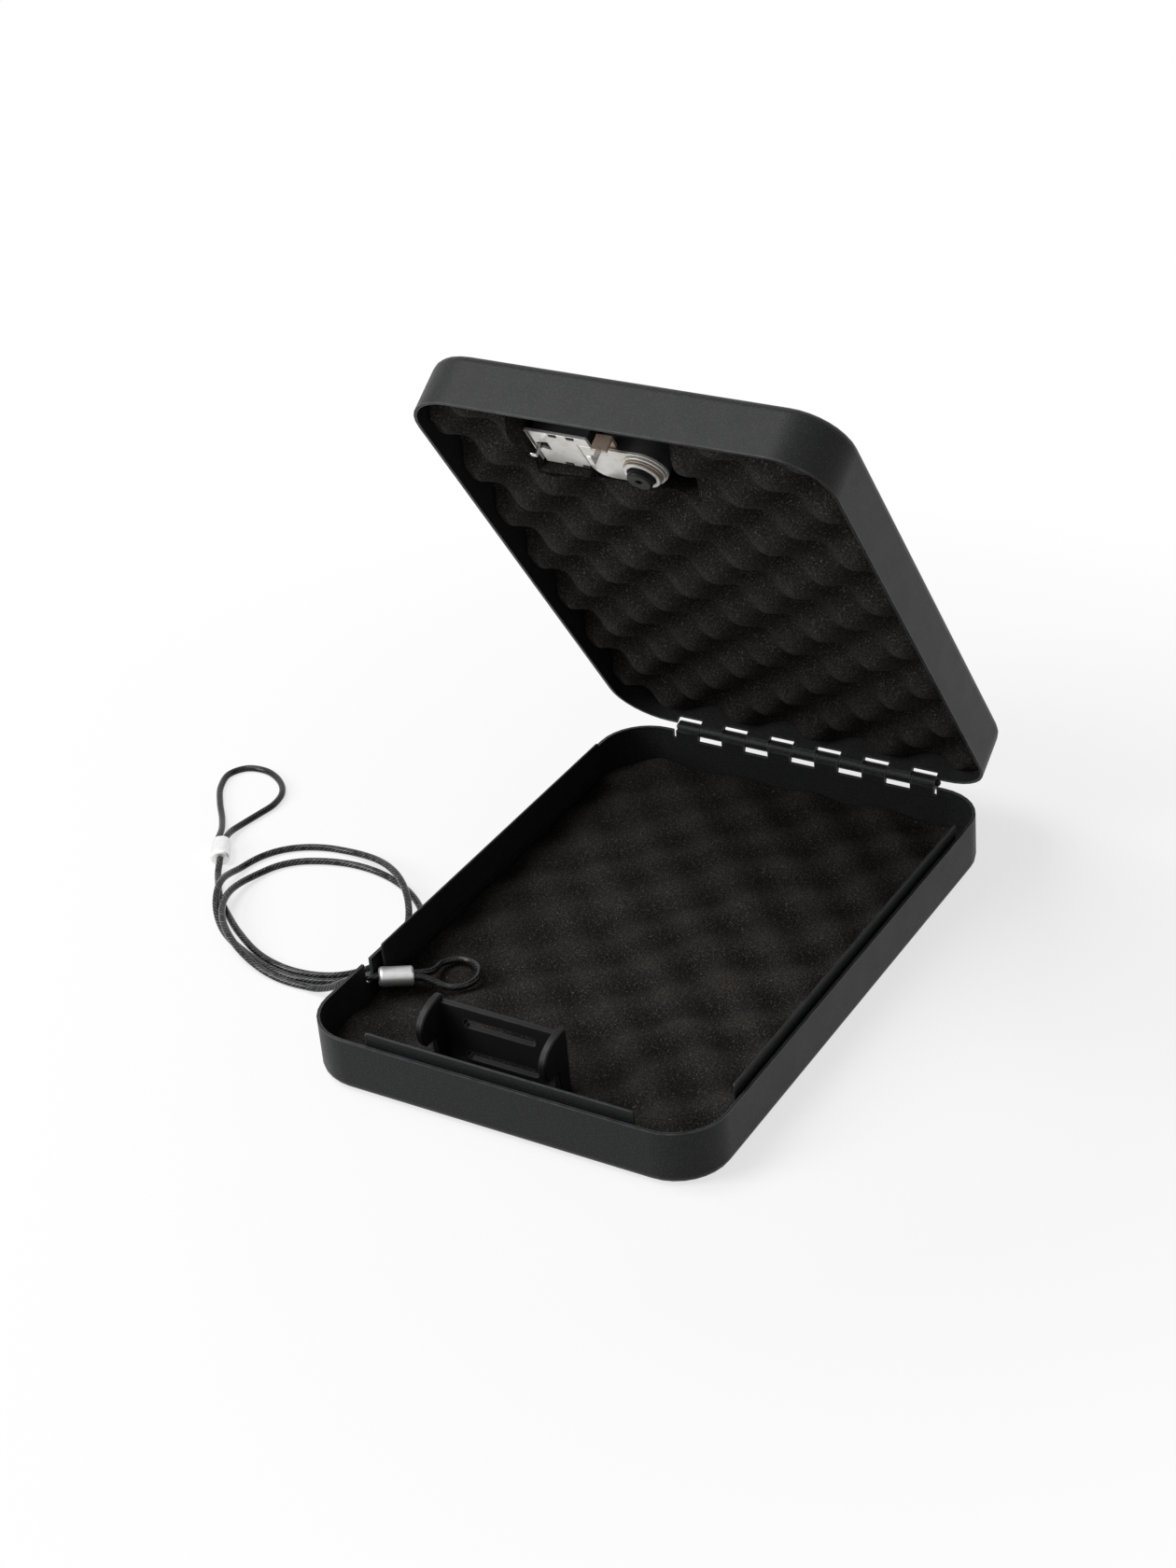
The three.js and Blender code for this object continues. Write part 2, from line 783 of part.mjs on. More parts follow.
function leverChannel() {
  const right = leverX + leverSheet / 2 + leverHead + leverTravel + gap;
  const side = leverWidth / 2 + gap;
  return block(leverX - leverSheet / 2 - gap, right, leverY - side, leverY + side,
    lockFloor - 1, lockFloor + leverSheet + gap);
}

function lockCase() {
  const left = plate(squarePlateShape(caseInset), lockFloor, lockCeiling);
  const right = plate(discPlateShape(), lockFloor, lockCeiling);
  const bridge = block(plateSplit - 1, plateSplit + 1, discFront + 1, plateBack - 1, lockFloor, lockCeiling);
  const tabs = [];
  for (const x of plateNotches) {
    const half = notchWidth / 2 - gap;
    const depth = notchDepth - gap;
    const rise = [plateFace - gap, lockFloor + 1];
    tabs.push(block(x - half, x + half, plateFront + caseInset, plateFront + depth, ...rise));
    tabs.push(block(x - half, x + half, plateBack - depth, plateBack - caseInset, ...rise));
  }
  const axleRoom = axleRadius + runningGap;
  const detentY = wheelY + wheelRadius + gap;
  const cuts = [
    ...wheelSlots(wheelRadius + wheelRoom, lockFloor - 1, lockCeiling + 1),
    block(wheelsLeft - axleReach - gap, wheelsRight + axleReach + gap, wheelY - axleRoom, wheelY + axleRoom,
      wheelZ - axleRoom, lockCeiling + 1),
    block(wheelsLeft - 2 * gap, wheelsRight + 2 * gap, detentY - gap, detentY + detentSheet + gap,
      lockFloor + detentLift - gap, lockCeiling + 1),
    cylinder(buttonX, buttonY, buttonRadius + buttonRoom, lockFloor + springSeat, lockCeiling + 1, 24),
    cylinder(buttonX, buttonY, stemRadius + gap, lockFloor - 1, lockFloor + springSeat + 1),
    latchChannel(),
    leverChannel(),
  ];
  for (const y of postYs) {
    cuts.push(cylinder(postX, y, postRadius + gap, lockFloor + screwHead + postSeat, lockCeiling + 1, 16));
    cuts.push(cylinder(postX, y, screwRadius + gap, lockFloor - 1, lockCeiling, 12));
    cuts.push(cylinder(postX, y, screwHeadRadius + gap, lockFloor - 1, lockFloor + screwHead + gap, 16));
  }
  return cut(joined([left, right, bridge, ...tabs]), cuts);
}

// The bezel lies on the lid's outside, with two posts that reach into the lock
function bezelSpan() {
  const right = buttonX + buttonRadius + flangeRight;
  return { left: right - bezelLength, right, front: wheelY - bezelWidth / 2, back: wheelY + bezelWidth / 2 };
}

function lockBezel() {
  const { left, right, front, back } = bezelSpan();
  const outline = roundedRectangle(left, right, front, back, bezelCorner);
  const flange = new THREE.ExtrudeGeometry(outline, {
    depth: bezelSheet - 2 * flangeEdge,
    bevelEnabled: true,
    bevelThickness: flangeEdge,
    bevelSize: flangeEdge,
    bevelOffset: -flangeEdge,
    bevelSegments: 1,
    curveSegments: 5,
  });
  flange.translate(0, 0, bezelBottom + flangeEdge);
  const postEnd = lockFloor + screwHead + postSeat + gap;
  const posts = postYs.map((y) => cylinder(postX, y, postRadius, postEnd, bezelBottom + bezelSheet / 2, 16));
  const chord = Math.sqrt(wheelRadius ** 2 - (bezelBottom - wheelZ) ** 2);
  const cuts = [
    ...wheelSlots(chord + gap, bezelBottom - 1, bezelTop + 1),
    cylinder(buttonX, buttonY, buttonRadius + wheelRoom, bezelBottom - 1, bezelTop + 1, 24),
    ...postYs.map((y) => cylinder(postX, y, screwRadius + runningGap, postEnd - 1, postEnd + screwBite, 12)),
  ];
  return cut(joined([solidOf(flange), ...posts]), cuts);
}

function bezelScrew(y) {
  const low = lockFloor + gap;
  return turned([
    [0, low],
    [screwHeadRadius, low],
    [screwHeadRadius, low + screwHead - gap],
    [screwRadius, low + screwHead - gap],
    [screwRadius, low + screwLength],
    [0, low + screwLength],
  ], postX, y, 12);
}

function numberWheel(index) {
  const shape = new THREE.Shape();
  const steps = 4 * wheelDigits;
  for (let i = 0; i < steps; i += 1) {
    const angle = 2 * Math.PI * i / steps;
    const reach = wheelRadius - wheelScallop * (1 - Math.cos(wheelDigits * angle)) / 2;
    const [y, z] = [reach * Math.cos(angle), reach * Math.sin(angle)];
    if (i === 0) {
      shape.moveTo(y, z);
    } else {
      shape.lineTo(y, z);
    }
  }
  const half = wheelWidth / 2;
  const bore = rod(0, 0, axleRadius + runningGap, -half - 1, half + 1);
  return bar(shape, -half, half, wheelEdge, 1).subtract(bore).translate([wheelCentre(index), wheelY, wheelZ]);
}

function wheelAxle() {
  return rod(wheelY, wheelZ, axleRadius, wheelsLeft - axleReach, wheelsRight + axleReach);
}

// A comb of three leaf springs behind the wheels
function wheelDetent() {
  const y = wheelY + wheelRadius + gap;
  const low = lockFloor + detentLift;
  const solids = [block(wheelsLeft, wheelsRight, y, y + detentSheet, low, low + detentFoot)];
  for (let i = 0; i < wheelCount; i += 1) {
    const x = wheelCentre(i);
    solids.push(block(x - detentLeaf, x + detentLeaf, y, y + detentSheet, low, lockCeiling - 1));
  }
  return joined(solids);
}

// Button: head and stem from outside, boss on the stem's inner end
function buttonCap() {
  const top = bezelTop + buttonRise;
  const under = bezelTop - buttonHead;
  const stemEnd = plateFace - stemSink;
  return turned([
    [0, stemEnd],
    [stemRadius, stemEnd],
    [stemRadius, under],
    [buttonRadius, under],
    [buttonRadius, top - buttonEdge],
    [buttonRadius - buttonEdge, top],
    [buttonRadius - buttonDish.rim, top - buttonDish.half],
    [0, top - 2 * buttonDish.half],
  ], buttonX, buttonY, 28);
}

function ringBottom(index) {
  let z = plateFace;
  for (let i = 0; i <= index; i += 1) {
    z -= gap + ringStack[i].thickness;
  }
  return z;
}

function buttonBoss() {
  const top = plateFace - bossSink;
  const low = top - bossLength;
  const cup = stemRadius + gap;
  const floor = plateFace - stemSink - gap;
  return turned([
    [bossBore, low + bossBoreDepth],
    [0, low + bossBoreDepth],
    [0, floor],
    [cup, floor],
    [cup, top],
    [bossRadius, top],
    [bossRadius, low + bossEdge],
    [bossRadius - bossEdge, low],
    [bossBore, low],
    [bossBore, low + bossBoreDepth],
  ], buttonX, buttonY, 24);
}

function stackRing(index) {
  const { radius, hole, thickness } = ringStack[index];
  const low = ringBottom(index);
  return turned([
    [hole, low],
    [radius, low],
    [radius, low + thickness],
    [hole, low + thickness],
    [hole, low],
  ], buttonX, buttonY, 28);
}

class Helix extends THREE.Curve {
  constructor(radius, turns, rise, centre) {
    super();
    Object.assign(this, { radius, turns, rise, centre });
  }

  getPoint(t, target = new THREE.Vector3()) {
    const angle = 2 * Math.PI * this.turns * t;
    const { x, y, z } = this.centre;
    const [cos, sin] = [Math.cos(angle), Math.sin(angle)];
    return target.set(x + this.radius * cos, y + this.radius * sin, z + this.rise * t);
  }
}

function tube(curve, radius, sides, steps) {
  const section = new THREE.Shape();
  for (let i = 0; i < sides; i += 1) {
    const angle = 2 * Math.PI * i / sides;
    const [x, y] = [radius * Math.cos(angle), radius * Math.sin(angle)];
    if (i === 0) {
      section.moveTo(x, y);
    } else {
      section.lineTo(x, y);
    }
  }
  const settings = { steps, extrudePath: curve, bevelEnabled: false, curveSegments: 1 };
  return new THREE.ExtrudeGeometry(section, settings);
}

function buttonSpring() {
  const low = lockFloor + springSeat + gap + springWire / 2;
  const headUnder = bezelTop - buttonHead - buttonTravel;
  const rise = headUnder - gap - springWire / 2 - low;
  const centre = new THREE.Vector3(buttonX, buttonY, low);
  const helix = new Helix(stemRadius + springStandoff, springTurns, rise, centre);
  return solidOf(tube(helix, springWire / 2, 5, Math.round(springTurns * 10)));
}

// Latch: a bracket bent down from under the case, and a narrow prong that bites through the catch's upper slot
function latchHook() {
  const deck = lockFloor + hookDeck;
  const legBack = hookFront + hookSheet;
  const tip = upperSlotZ + catchSlot.height / 2 - latchSide;
  const low = tip - hookSheet;
  const nose = hookFront - hookBite;
  const middle = (hookLeft + hookRight) / 2;
  const bracket = polygon([
    [hookFront, deck + hookSheet],
    [hookFront, plateFace - hookBracket],
    [legBack, plateFace - hookBracket],
    [legBack, deck],
    [hookFront + hookTail, deck],
    [hookFront + hookTail, deck + hookSheet],
  ]);
  const prong = polygon([
    [hookFront, deck],
    [hookFront, tip],
    [nose + hookNose.back, tip],
    [nose, tip - hookNose.down],
    [nose + hookNose.tuck, low],
    [legBack, low],
    [legBack, deck],
  ]);
  return bar(bracket, hookLeft, hookRight).add(bar(prong, middle - hookProng / 2, middle + hookProng / 2));
}

function resetLever() {
  const left = leverX - leverSheet / 2;
  const right = leverX + leverSheet / 2;
  const head = lockFloor + leverSheet;
  const low = plateFace - leverReach;
  const shape = polygon([
    [left, head],
    [left, low],
    [left - leverFoot, low],
    [left - leverFoot, low - leverFootSheet],
    [right, low - leverFootSheet],
    [right, lockFloor + hookDeck],
    [right + leverHead, lockFloor + hookDeck],
    [right + leverHead, head],
  ]);
  return panel(shape, leverY - leverWidth / 2, leverY + leverWidth / 2);
}

// Lid
function lidShell() {
  const shell = pan(0, lidTop, lidRim).subtract(pan(sheet, lidCeiling, lidRim - sheet));
  const windowRoom = wheelRadius + wheelRoom;
  const cuts = [
    ...knuckleCuts(0, lidRim - sheet, lidRim + lidCutHeight),
    block(wheelsLeft - 2 * gap, wheelsRight + 2 * gap, wheelY - windowRoom, wheelY + windowRoom,
      lidCeiling - 1, lidTop + 1),
    cylinder(buttonX, buttonY, buttonRadius + 2 * gap, lidCeiling - 1, lidTop + 1, 24),
    ...postYs.map((y) => cylinder(postX, y, postRadius + gap, lidCeiling - 1, lidTop + 1, 16)),
  ];
  return cut(shell, cuts).add(knuckles(1, 1));
}

function lidFoam() {
  const base = lidCeiling - gap;
  const middle = trayHeight + lidFoamMiddle;
  const lipTop = trayHeight + lipRise + lipRoom;
  const upper = pan(sheet + foamSide, base, lipTop);
  const lower = prism(sheet + lipOffset + lipSheet + lipRoom, lidRim, lipTop + 1);
  const waves = waveBlock(lidWaveSteps, base + 1, (x, y) => middle + lidWave * waveAt(x, y));
  const pocketRight = catchRight + pocketRoom;
  const pocketLeft = plateLeft - 2;
  const deep = [lidRim - 1, base + 1];
  return cut(upper.add(lower).intersect(waves), [
    block(pocketLeft, pocketRight, -halfY, discFront, ...deep),
    block(pocketLeft, plateSplit, discFront - 1, plateBack + pocketRoom, ...deep),
    block(plateSplit - 1, pocketRight, discFront - 1, discBack + 1, ...deep),
  ]);
}

// Cable: hand-set points for the eyes, the lead and the tail; a formula for the coil
const innerFerrule = { from: [-79.0, -73.1, 14.8], heading: [0.766, 0.643, -0.14] };
const outerFerrule = { from: [-203.6, -5.6, 3.6], heading: [0.549, -0.836, 0] };
const innerEyePoints = [
  [-61.6, -63.0, 11.3], [-57.0, -62.6, 10.1], [-52.6, -61.0, 9.8], [-49.6, -57.2, 9.8], [-49.2, -52.2, 9.8],
  [-51.6, -47.6, 9.8], [-55.8, -44.9, 9.8], [-60.8, -44.6, 9.8], [-64.6, -47.2, 9.9], [-66.3, -51.4, 10.4],
  [-65.6, -55.8, 11.2], [-66.1, -59.4, 12.0],
];
const outerEyePoints = [
  [-206.0, 4.2, 2.6], [-206.0, 13.0, 1.6], [-204.4, 21.5, 1.6], [-203.1, 30.0, 1.6], [-205.2, 39.0, 1.6],
  [-212.0, 46.8, 1.6], [-222.2, 51.5, 1.6], [-231.6, 50.0, 1.6], [-235.8, 43.0, 1.6], [-232.7, 32.7, 1.6],
  [-225.5, 22.4, 1.6], [-217.0, 12.4, 1.6], [-210.6, 3.6, 2.6],
];
const leadPoints = [
  [-114.0, -74.9, 1.8], [-107.0, -75.4, 3.0], [-100.2, -76.0, 5.9], [-94.6, -76.6, 9.6], [-89.6, -76.9, 12.8],
  [-85.4, -76.3, 14.7],
];
const tailPoints = [
  [-192.6, -23.2, 2.2], [-188.6, -28.6, 1.6], [-183.6, -34.8, 1.6], [-176.2, -41.9, 1.6], [-168.2, -48.3, 1.6],
  [-161.0, -53.6, 1.6],
];

function unit(vector) {
  return new THREE.Vector3(...vector).normalize();
}

function ferruleFrame({ from, heading }) {
  const along = unit(heading);
  const wide = new THREE.Vector3(0, 0, 1).cross(along).normalize();
  const high = along.clone().cross(wide);
  return { from: new THREE.Vector3(...from), along, wide, high };
}

// A point at a distance along a ferrule's axis, and to one side of it
function ferrulePoint(ferrule, distance, sideways) {
  const { from, along, wide } = ferruleFrame(ferrule);
  return from.clone().addScaledVector(along, distance).addScaledVector(wide, sideways);
}

function ferruleMesh(name, ferrule) {
  const { along, wide, high } = ferruleFrame(ferrule);
  const body = new THREE.ExtrudeGeometry(stadium(ferruleWidth / 2, ferruleHeight / 2), {
    depth: ferruleLength - 2 * ferruleEdge,
    bevelEnabled: true,
    bevelThickness: ferruleEdge,
    bevelSize: ferruleEdge,
    bevelOffset: -ferruleEdge,
    bevelSegments: 1,
    curveSegments: 6,
  });
  body.translate(0, 0, ferruleEdge);
  const mesh = meshOf(name, solidOf(body), ...aluminium);
  mesh.quaternion.setFromRotationMatrix(new THREE.Matrix4().makeBasis(wide, high, along));
  mesh.position.set(...ferrule.from);
  return mesh;
}

function smooth(t) {
  const clamped = Math.min(1, Math.max(0, t));
  return clamped * clamped * (3 - 2 * clamped);
}

// How far a turn lies outside the oval's middle line, by its angle in degrees
function coilOffset(angle) {
  let offset = -coilInset;
  for (const { from, over, outward } of coilShifts) {
    offset += outward * smooth((angle - from) / over);
  }
  return offset;
}

function coilHeight(angle) {
  let height = 0;
  for (const { middle, half } of coilHumps) {
    const away = Math.abs(angle - middle) / half;
    if (away < 1) {
      height = coilHump * Math.cos(away * Math.PI / 2) ** 2;
    }
  }
  return coilFloor + height;
}

function coilPoint(angle) {
  const offset = coilOffset(angle);
  const turn = radians(angle);
  const y = (coilHalf.y + offset) * Math.sin(turn);
  const x = (coilHalf.x + offset) * Math.cos(turn) + coilLean * y;
  return new THREE.Vector3(coilCentre.x + x, coilCentre.y + y, coilHeight(angle));
}

class CoilCurve extends THREE.Curve {
  getPoint(t) {
    return coilPoint(coilStart + (coilEnd - coilStart) * t);
  }
}

function leastCoilGap() {
  const points = [];
  for (let angle = coilStart; angle <= coilEnd; angle += 3) {
    points.push(coilPoint(angle));
  }
  const apart = 60;
  let least = Infinity;
  for (let i = 0; i < points.length; i += 1) {
    for (let j = i + apart; j < points.length; j += 1) {
      least = Math.min(least, points[i].distanceTo(points[j]));
    }
  }
  return least - 2 * cableRadius;
}

function routed(points) {
  const places = points.map((point) => (point.isVector3 ? point : new THREE.Vector3(...point)));
  return new THREE.CatmullRomCurve3(places, false, 'centripetal');
}

function cableMeshes() {
  const strand = cableRadius + strandGap;
  const off = cableFace;
  const inEnd = ferruleLength + off;
  const straight = 2 * cableRadius;
  const eyeIn = routed([
    ferrulePoint(innerFerrule, inEnd, -strand),
    ferrulePoint(innerFerrule, inEnd + straight, -strand),
    ...innerEyePoints,
    ferrulePoint(innerFerrule, inEnd + straight, strand),
    ferrulePoint(innerFerrule, inEnd, strand),
  ]);
  const eyeOut = routed([
    ferrulePoint(outerFerrule, -off, strand),
    ferrulePoint(outerFerrule, -off - straight, strand),
    ...outerEyePoints,
    ferrulePoint(outerFerrule, -off - straight, -strand),
    ferrulePoint(outerFerrule, -off, -strand),
  ]);
  const coilTip = coilPoint(coilStart);
  const tailHeading = coilTip.clone().sub(coilPoint(coilStart + 1)).normalize();
  const tail = routed([
    ferrulePoint(outerFerrule, inEnd, 0),
    ferrulePoint(outerFerrule, inEnd + straight, 0),
    ...tailPoints,
    coilTip.clone().addScaledVector(tailHeading, off),
  ]);
  const coilFoot = coilPoint(coilEnd);
  const leadHeading = coilFoot.clone().sub(coilPoint(coilEnd - 1)).normalize();
  const lead = routed([
    coilFoot.clone().addScaledVector(leadHeading, off),
    ...leadPoints,
    ferrulePoint(innerFerrule, -off - straight, 0),
    ferrulePoint(innerFerrule, -off, 0),
  ]);
  const coil = new CoilCurve();
  const coilSteps = Math.round(24 * (coilEnd - coilStart) / 360);
  const runs = { cable_eye_inner: eyeIn, cable_lead: lead, cable_tail: tail, cable_eye_outer: eyeOut };
  const lengths = [];
  const meshes = [];
  for (const [name, curve] of Object.entries(runs)) {
    const steps = Math.max(6, Math.round(curve.getLength() / (4.6 * cableRadius)));
    meshes.push(meshOf(name, solidOf(tube(curve, cableRadius, 8, steps)), ...cableCover));
    lengths.push(curve.getLength());
  }
  meshes.push(meshOf('cable_coil', solidOf(tube(coil, cableRadius, 6, coilSteps)), ...cableCover));
  lengths.push(coil.getLength());
  console.log('cable coil: least gap to itself', leastCoilGap().toFixed(2), 'mm');
  console.log('cable stretches', lengths.map((length) => length.toFixed(0)).join(', '), 'mm');
  return meshes;
}

// Assembly
function meshOf(name, solid, colour, roughness, metalness) {
  const material = new THREE.MeshStandardMaterial({ color: colour, roughness, metalness });
  const mesh = new THREE.Mesh(geometryOf(solid), material);
  mesh.name = name;
  return mesh;
}

const steelBlack = [0x2b2b2d, 0.55, 0.2];
const foamDark = [0x241f1e, 1, 0];
const mouldedBlack = [0x1d1d1e, 0.45, 0];
const zincPlate = [0xd6d3cd, 0.3, 0.9];
const brightSteel = [0xb9b9b6, 0.25, 1];
const bronze = [0x8a5a38, 0.35, 0.9];
const lockMetal = [0x4a4a4c, 0.5, 0.6];
const aluminium = [0xc9c9c7, 0.35, 0.9];
const cableCover = [0x2a2a2c, 0.3, 0];

const tray = new THREE.Group();
tray.add(
  meshOf('tray_shell', trayShell(), ...steelBlack),
  meshOf('hinge_pin', hingePin(), ...steelBlack),
  meshOf('front_lip', frontLip(), ...steelBlack),
  meshOf('right_lip', rightLip(), ...steelBlack),
  meshOf('left_lip', leftLip(), ...steelBlack),
  meshOf('tray_foam', trayFoam(), ...foamDark),
  meshOf('latch_catch', catchBracket(), ...mouldedBlack),
  ...rivetPlaces.map((x, i) => meshOf(`catch_rivet_${i + 1}`, catchRivet(x), ...brightSteel)),
);

const cable = new THREE.Group();
cable.add(
  ferruleMesh('ferrule_inner', innerFerrule),
  ferruleMesh('ferrule_outer', outerFerrule),
  ...cableMeshes(),
);

// The lid is drawn closed, then turned open about the hinge pin
const closedLid = new THREE.Group();
closedLid.position.set(0, -hingeY, -hingeZ);
closedLid.add(
  meshOf('lid_shell', lidShell(), ...steelBlack),
  meshOf('lid_foam', lidFoam(), ...foamDark),
  meshOf('lock_case', lockCase(), ...lockMetal),
  meshOf('lock_bezel', lockBezel(), ...mouldedBlack),
  meshOf('lock_plate', lockPlate(), ...zincPlate),
  meshOf('button_plate', discPlate(), ...zincPlate),
  meshOf('wheel_axle', wheelAxle(), ...brightSteel),
  meshOf('wheel_detent', wheelDetent(), ...brightSteel),
  ...postYs.map((y, i) => meshOf(`bezel_screw_${i + 1}`, bezelScrew(y), ...brightSteel)),
  ...ringStack.map(({ name, colour }, i) => meshOf(name, stackRing(i), colour, 0.3, 0.9)),
  meshOf('button_spring', buttonSpring(), ...brightSteel),
  meshOf('button_cap', buttonCap(), ...mouldedBlack),
  meshOf('button_boss', buttonBoss(), ...mouldedBlack),
  meshOf('latch_hook', latchHook(), ...bronze),
  meshOf('reset_lever', resetLever(), ...brightSteel),
);
for (let i = 0; i < wheelCount; i += 1) {
  closedLid.add(meshOf(`number_wheel_${i + 1}`, numberWheel(i), ...mouldedBlack));
}
const lid = new THREE.Group();
lid.position.set(0, hingeY, hingeZ);
lid.rotation.x = -radians(lidOpenAngle);
lid.add(closedLid);

const carSafe = new THREE.Group();
carSafe.add(tray, cable, lid);

export default carSafe;
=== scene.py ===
"""Portable car safe: the visual model round its CAD frame, laid out as a Blender add-on.

Sizes are in metres. X runs along the hinge, +Y towards it, and Z is up from the tray's underside.
Parts of the lid are made with the lid closed, then turned with it to its open place."""

from functools import partial
from math import atan2, ceil, cos, pi, radians, sin

import bmesh
import bpy
from bmesh.types import BMEdge, BMFace, BMVert
from bpy.props import FloatProperty, FloatVectorProperty, IntProperty, PointerProperty
from bpy.types import Operator, Panel, PropertyGroup
from mathutils import Matrix, Vector, noise


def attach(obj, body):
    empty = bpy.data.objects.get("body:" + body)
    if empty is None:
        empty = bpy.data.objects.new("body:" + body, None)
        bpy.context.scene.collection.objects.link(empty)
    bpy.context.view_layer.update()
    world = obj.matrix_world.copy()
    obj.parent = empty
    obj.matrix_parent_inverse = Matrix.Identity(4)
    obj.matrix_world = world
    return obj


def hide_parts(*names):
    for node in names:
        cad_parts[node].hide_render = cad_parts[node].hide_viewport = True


bl_info = {
    "name": "Portable Car Safe",
    "version": (1, 0, 0),
    "blender": (4, 5, 0),
    "location": "3D View > Sidebar > Car Safe",
    "description": "Builds the looks of a portable car safe round its CAD frame",
    "category": "Add Mesh",
}

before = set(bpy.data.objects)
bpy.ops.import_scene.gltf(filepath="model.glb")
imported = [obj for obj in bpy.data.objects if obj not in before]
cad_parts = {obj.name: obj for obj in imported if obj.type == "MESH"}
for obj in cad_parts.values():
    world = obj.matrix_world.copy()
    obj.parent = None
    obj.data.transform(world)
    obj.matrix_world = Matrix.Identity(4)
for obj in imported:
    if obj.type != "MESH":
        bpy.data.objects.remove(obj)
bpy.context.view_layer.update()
MM = 0.001

# Case
CASE_HALF = (0.083, 0.1205)
CASE_CORNER = 0.0205
HINGE_AXIS = Vector((0.0, 0.123, 0.02215))
LID_OPEN = radians(-55.8)

# Rounding along the edges of the metal parts and of the small moulded ones
PLATE_ROUND = 0.15 * MM
SCREW_ROUND = 0.1 * MM
HOOK_ROUND = 0.12 * MM
BODY_ROUND = 0.25 * MM
PIN_ROUND = 0.2 * MM
FERRULE_ROUND = 0.5 * MM
BUTTON_ROUND = 0.3 * MM
WHEEL_ROUND = 0.12 * MM

# Meshes: what counts as one point, as a point on a cut, as one plane and as a sharp edge
SAME_POINT = 0.001 * MM
ON_CUT = 0.01 * MM
SAME_PLANE = radians(0.6)
SHARP = radians(32)

# Foam lining: it stands inside the case's outer faces by its inset, and its surface is a grid of cells
FOAM_INSET = 1.6 * MM
FOAM_HALF = (CASE_HALF[0] - FOAM_INSET, CASE_HALF[1] - FOAM_INSET)
FOAM_CORNER = CASE_CORNER - FOAM_INSET
FOAM_CELL = 1.5 * MM
FOAM_EDGE = 0.8 * MM
FOAM_WARMTH = (1.35, 1.25, 1.15)

# Egg-crate wave: half a wave along X and Y, and the middle of one bump
WAVE_CELL = (16.5 * MM, 16 * MM)
WAVE_CENTRE = (-62 * MM, 66 * MM)

# Wander of the foam's surface and of the rows of waves in the tray: its size, and the distance of a change
LID_WANDER = {"size": 0.35 * MM, "over": 14 * MM}
TRAY_WANDER = {"size": 0.35 * MM, "over": 12 * MM}
TRAY_BEND = {"size": 6 * MM, "over": 40 * MM}

# Share by which the tray's waves are higher at its right wall and lower at its left one
TRAY_SLANT = 0.35

# Shelf round the lid's foam, which clears the tray's lips when the lid is shut
LIP_SHELF = {"width": 4.7 * MM, "height": 27.0 * MM, "drop": 2.4 * MM, "over": 1.5 * MM}
TRAY_FOAM_FOOT = 1.35 * MM
LID_FOAM_BACK = 42.2 * MM

# Cut-outs of the foam, for the lock in the lid and for the catch in the tray
POCKET = {"left": -48 * MM, "right": 16.7 * MM, "step": -27.5 * MM}
POCKET_BACK = {"left": -70 * MM, "right": -66 * MM}
CATCH_CUT_X = (-38.8 * MM, 15.8 * MM)
CATCH_CUT_Y = (-99.7 * MM, -92.9 * MM)

# Security cable: route points in millimetres, as the CAD solids lie
CABLE_RADIUS = 1.4
ROUTE_STEP = 1.2

# Ferrules: a strand's distance from their middle, the depth of a cut end, and how much deeper a bend is
FERRULE_LENGTH = 13
STRAND_OFFSET = 1.55
STRAND_INSIDE = 6
STRAND_BEND = 2
FERRULE_TINT = (1.0, 1.0, 0.995)
FERRULE_STAIN = 0.85
# A ferrule's "light" is the lightness of its aluminium. Both ferrules are the same metal; the outer one, out
# on the floor, is painted lighter and the inner one, down in the tray, darker: painted light and painted
# shade.
INNER_FERRULE = {"start": (-79.0, -73.1, 14.8), "heading": (0.766, 0.643, -0.14), "light": 0.60}
OUTER_FERRULE = {"start": (-203.6, -5.6, 3.6), "heading": (0.549, -0.836, 0), "light": 0.80}
INNER_EYE = (
    (-61.6, -63.0, 11.3),
    (-57.0, -62.6, 10.1),
    (-52.6, -61.0, 9.8),
    (-49.6, -57.2, 9.8),
    (-49.2, -52.2, 9.8),
    (-51.6, -47.6, 9.8),
    (-55.8, -44.9, 9.8),
    (-60.8, -44.6, 9.8),
    (-64.6, -47.2, 9.9),
    (-66.3, -51.4, 10.4),
    (-65.6, -55.8, 11.2),
    (-66.1, -59.4, 12.0),
)
OUTER_EYE = (
    (-206.0, 4.2, 2.6),
    (-206.0, 13.0, 1.6),
    (-204.4, 21.5, 1.6),
    (-203.1, 30.0, 1.6),
    (-205.2, 39.0, 1.6),
    (-212.0, 46.8, 1.6),
    (-222.2, 51.5, 1.6),
    (-231.6, 50.0, 1.6),
    (-235.8, 43.0, 1.6),
    (-232.7, 32.7, 1.6),
    (-225.5, 22.4, 1.6),
    (-217.0, 12.4, 1.6),
    (-210.6, 3.6, 2.6),
)
LEAD = (
    (-114.0, -74.9, 1.8),
    (-107.0, -75.4, 3.0),
    (-100.2, -76.0, 5.9),
    (-94.6, -76.6, 9.6),
    (-89.6, -76.9, 12.8),
    (-85.4, -76.3, 14.7),
)
TAIL = (
    (-192.6, -23.2, 2.2),
    (-188.6, -28.6, 1.6),
    (-183.6, -34.8, 1.6),
    (-176.2, -41.9, 1.6),
    (-168.2, -48.3, 1.6),
    (-161.0, -53.6, 1.6),
)

# Coil: a leaning ellipse in millimetres, drawn in by its inset and walked in degrees
COIL = {"centre": (-135.5, -33.4), "half": (45, 41), "lean": -0.35, "floor": 1.6}
COIL_TURN = {"start": 225, "end": 990, "step": 8}
COIL_INSET = 6.5

# Where its turns move outwards: from this angle, over this angle, by this much
COIL_SHIFTS = (
    (344, 120, 10.8),
    (480, 80, -1.9),
    (554, 50, -5.2),
    (680, 70, 5.2),
    (745, 90, -7.4),
    (870, 75, 5.5),
)

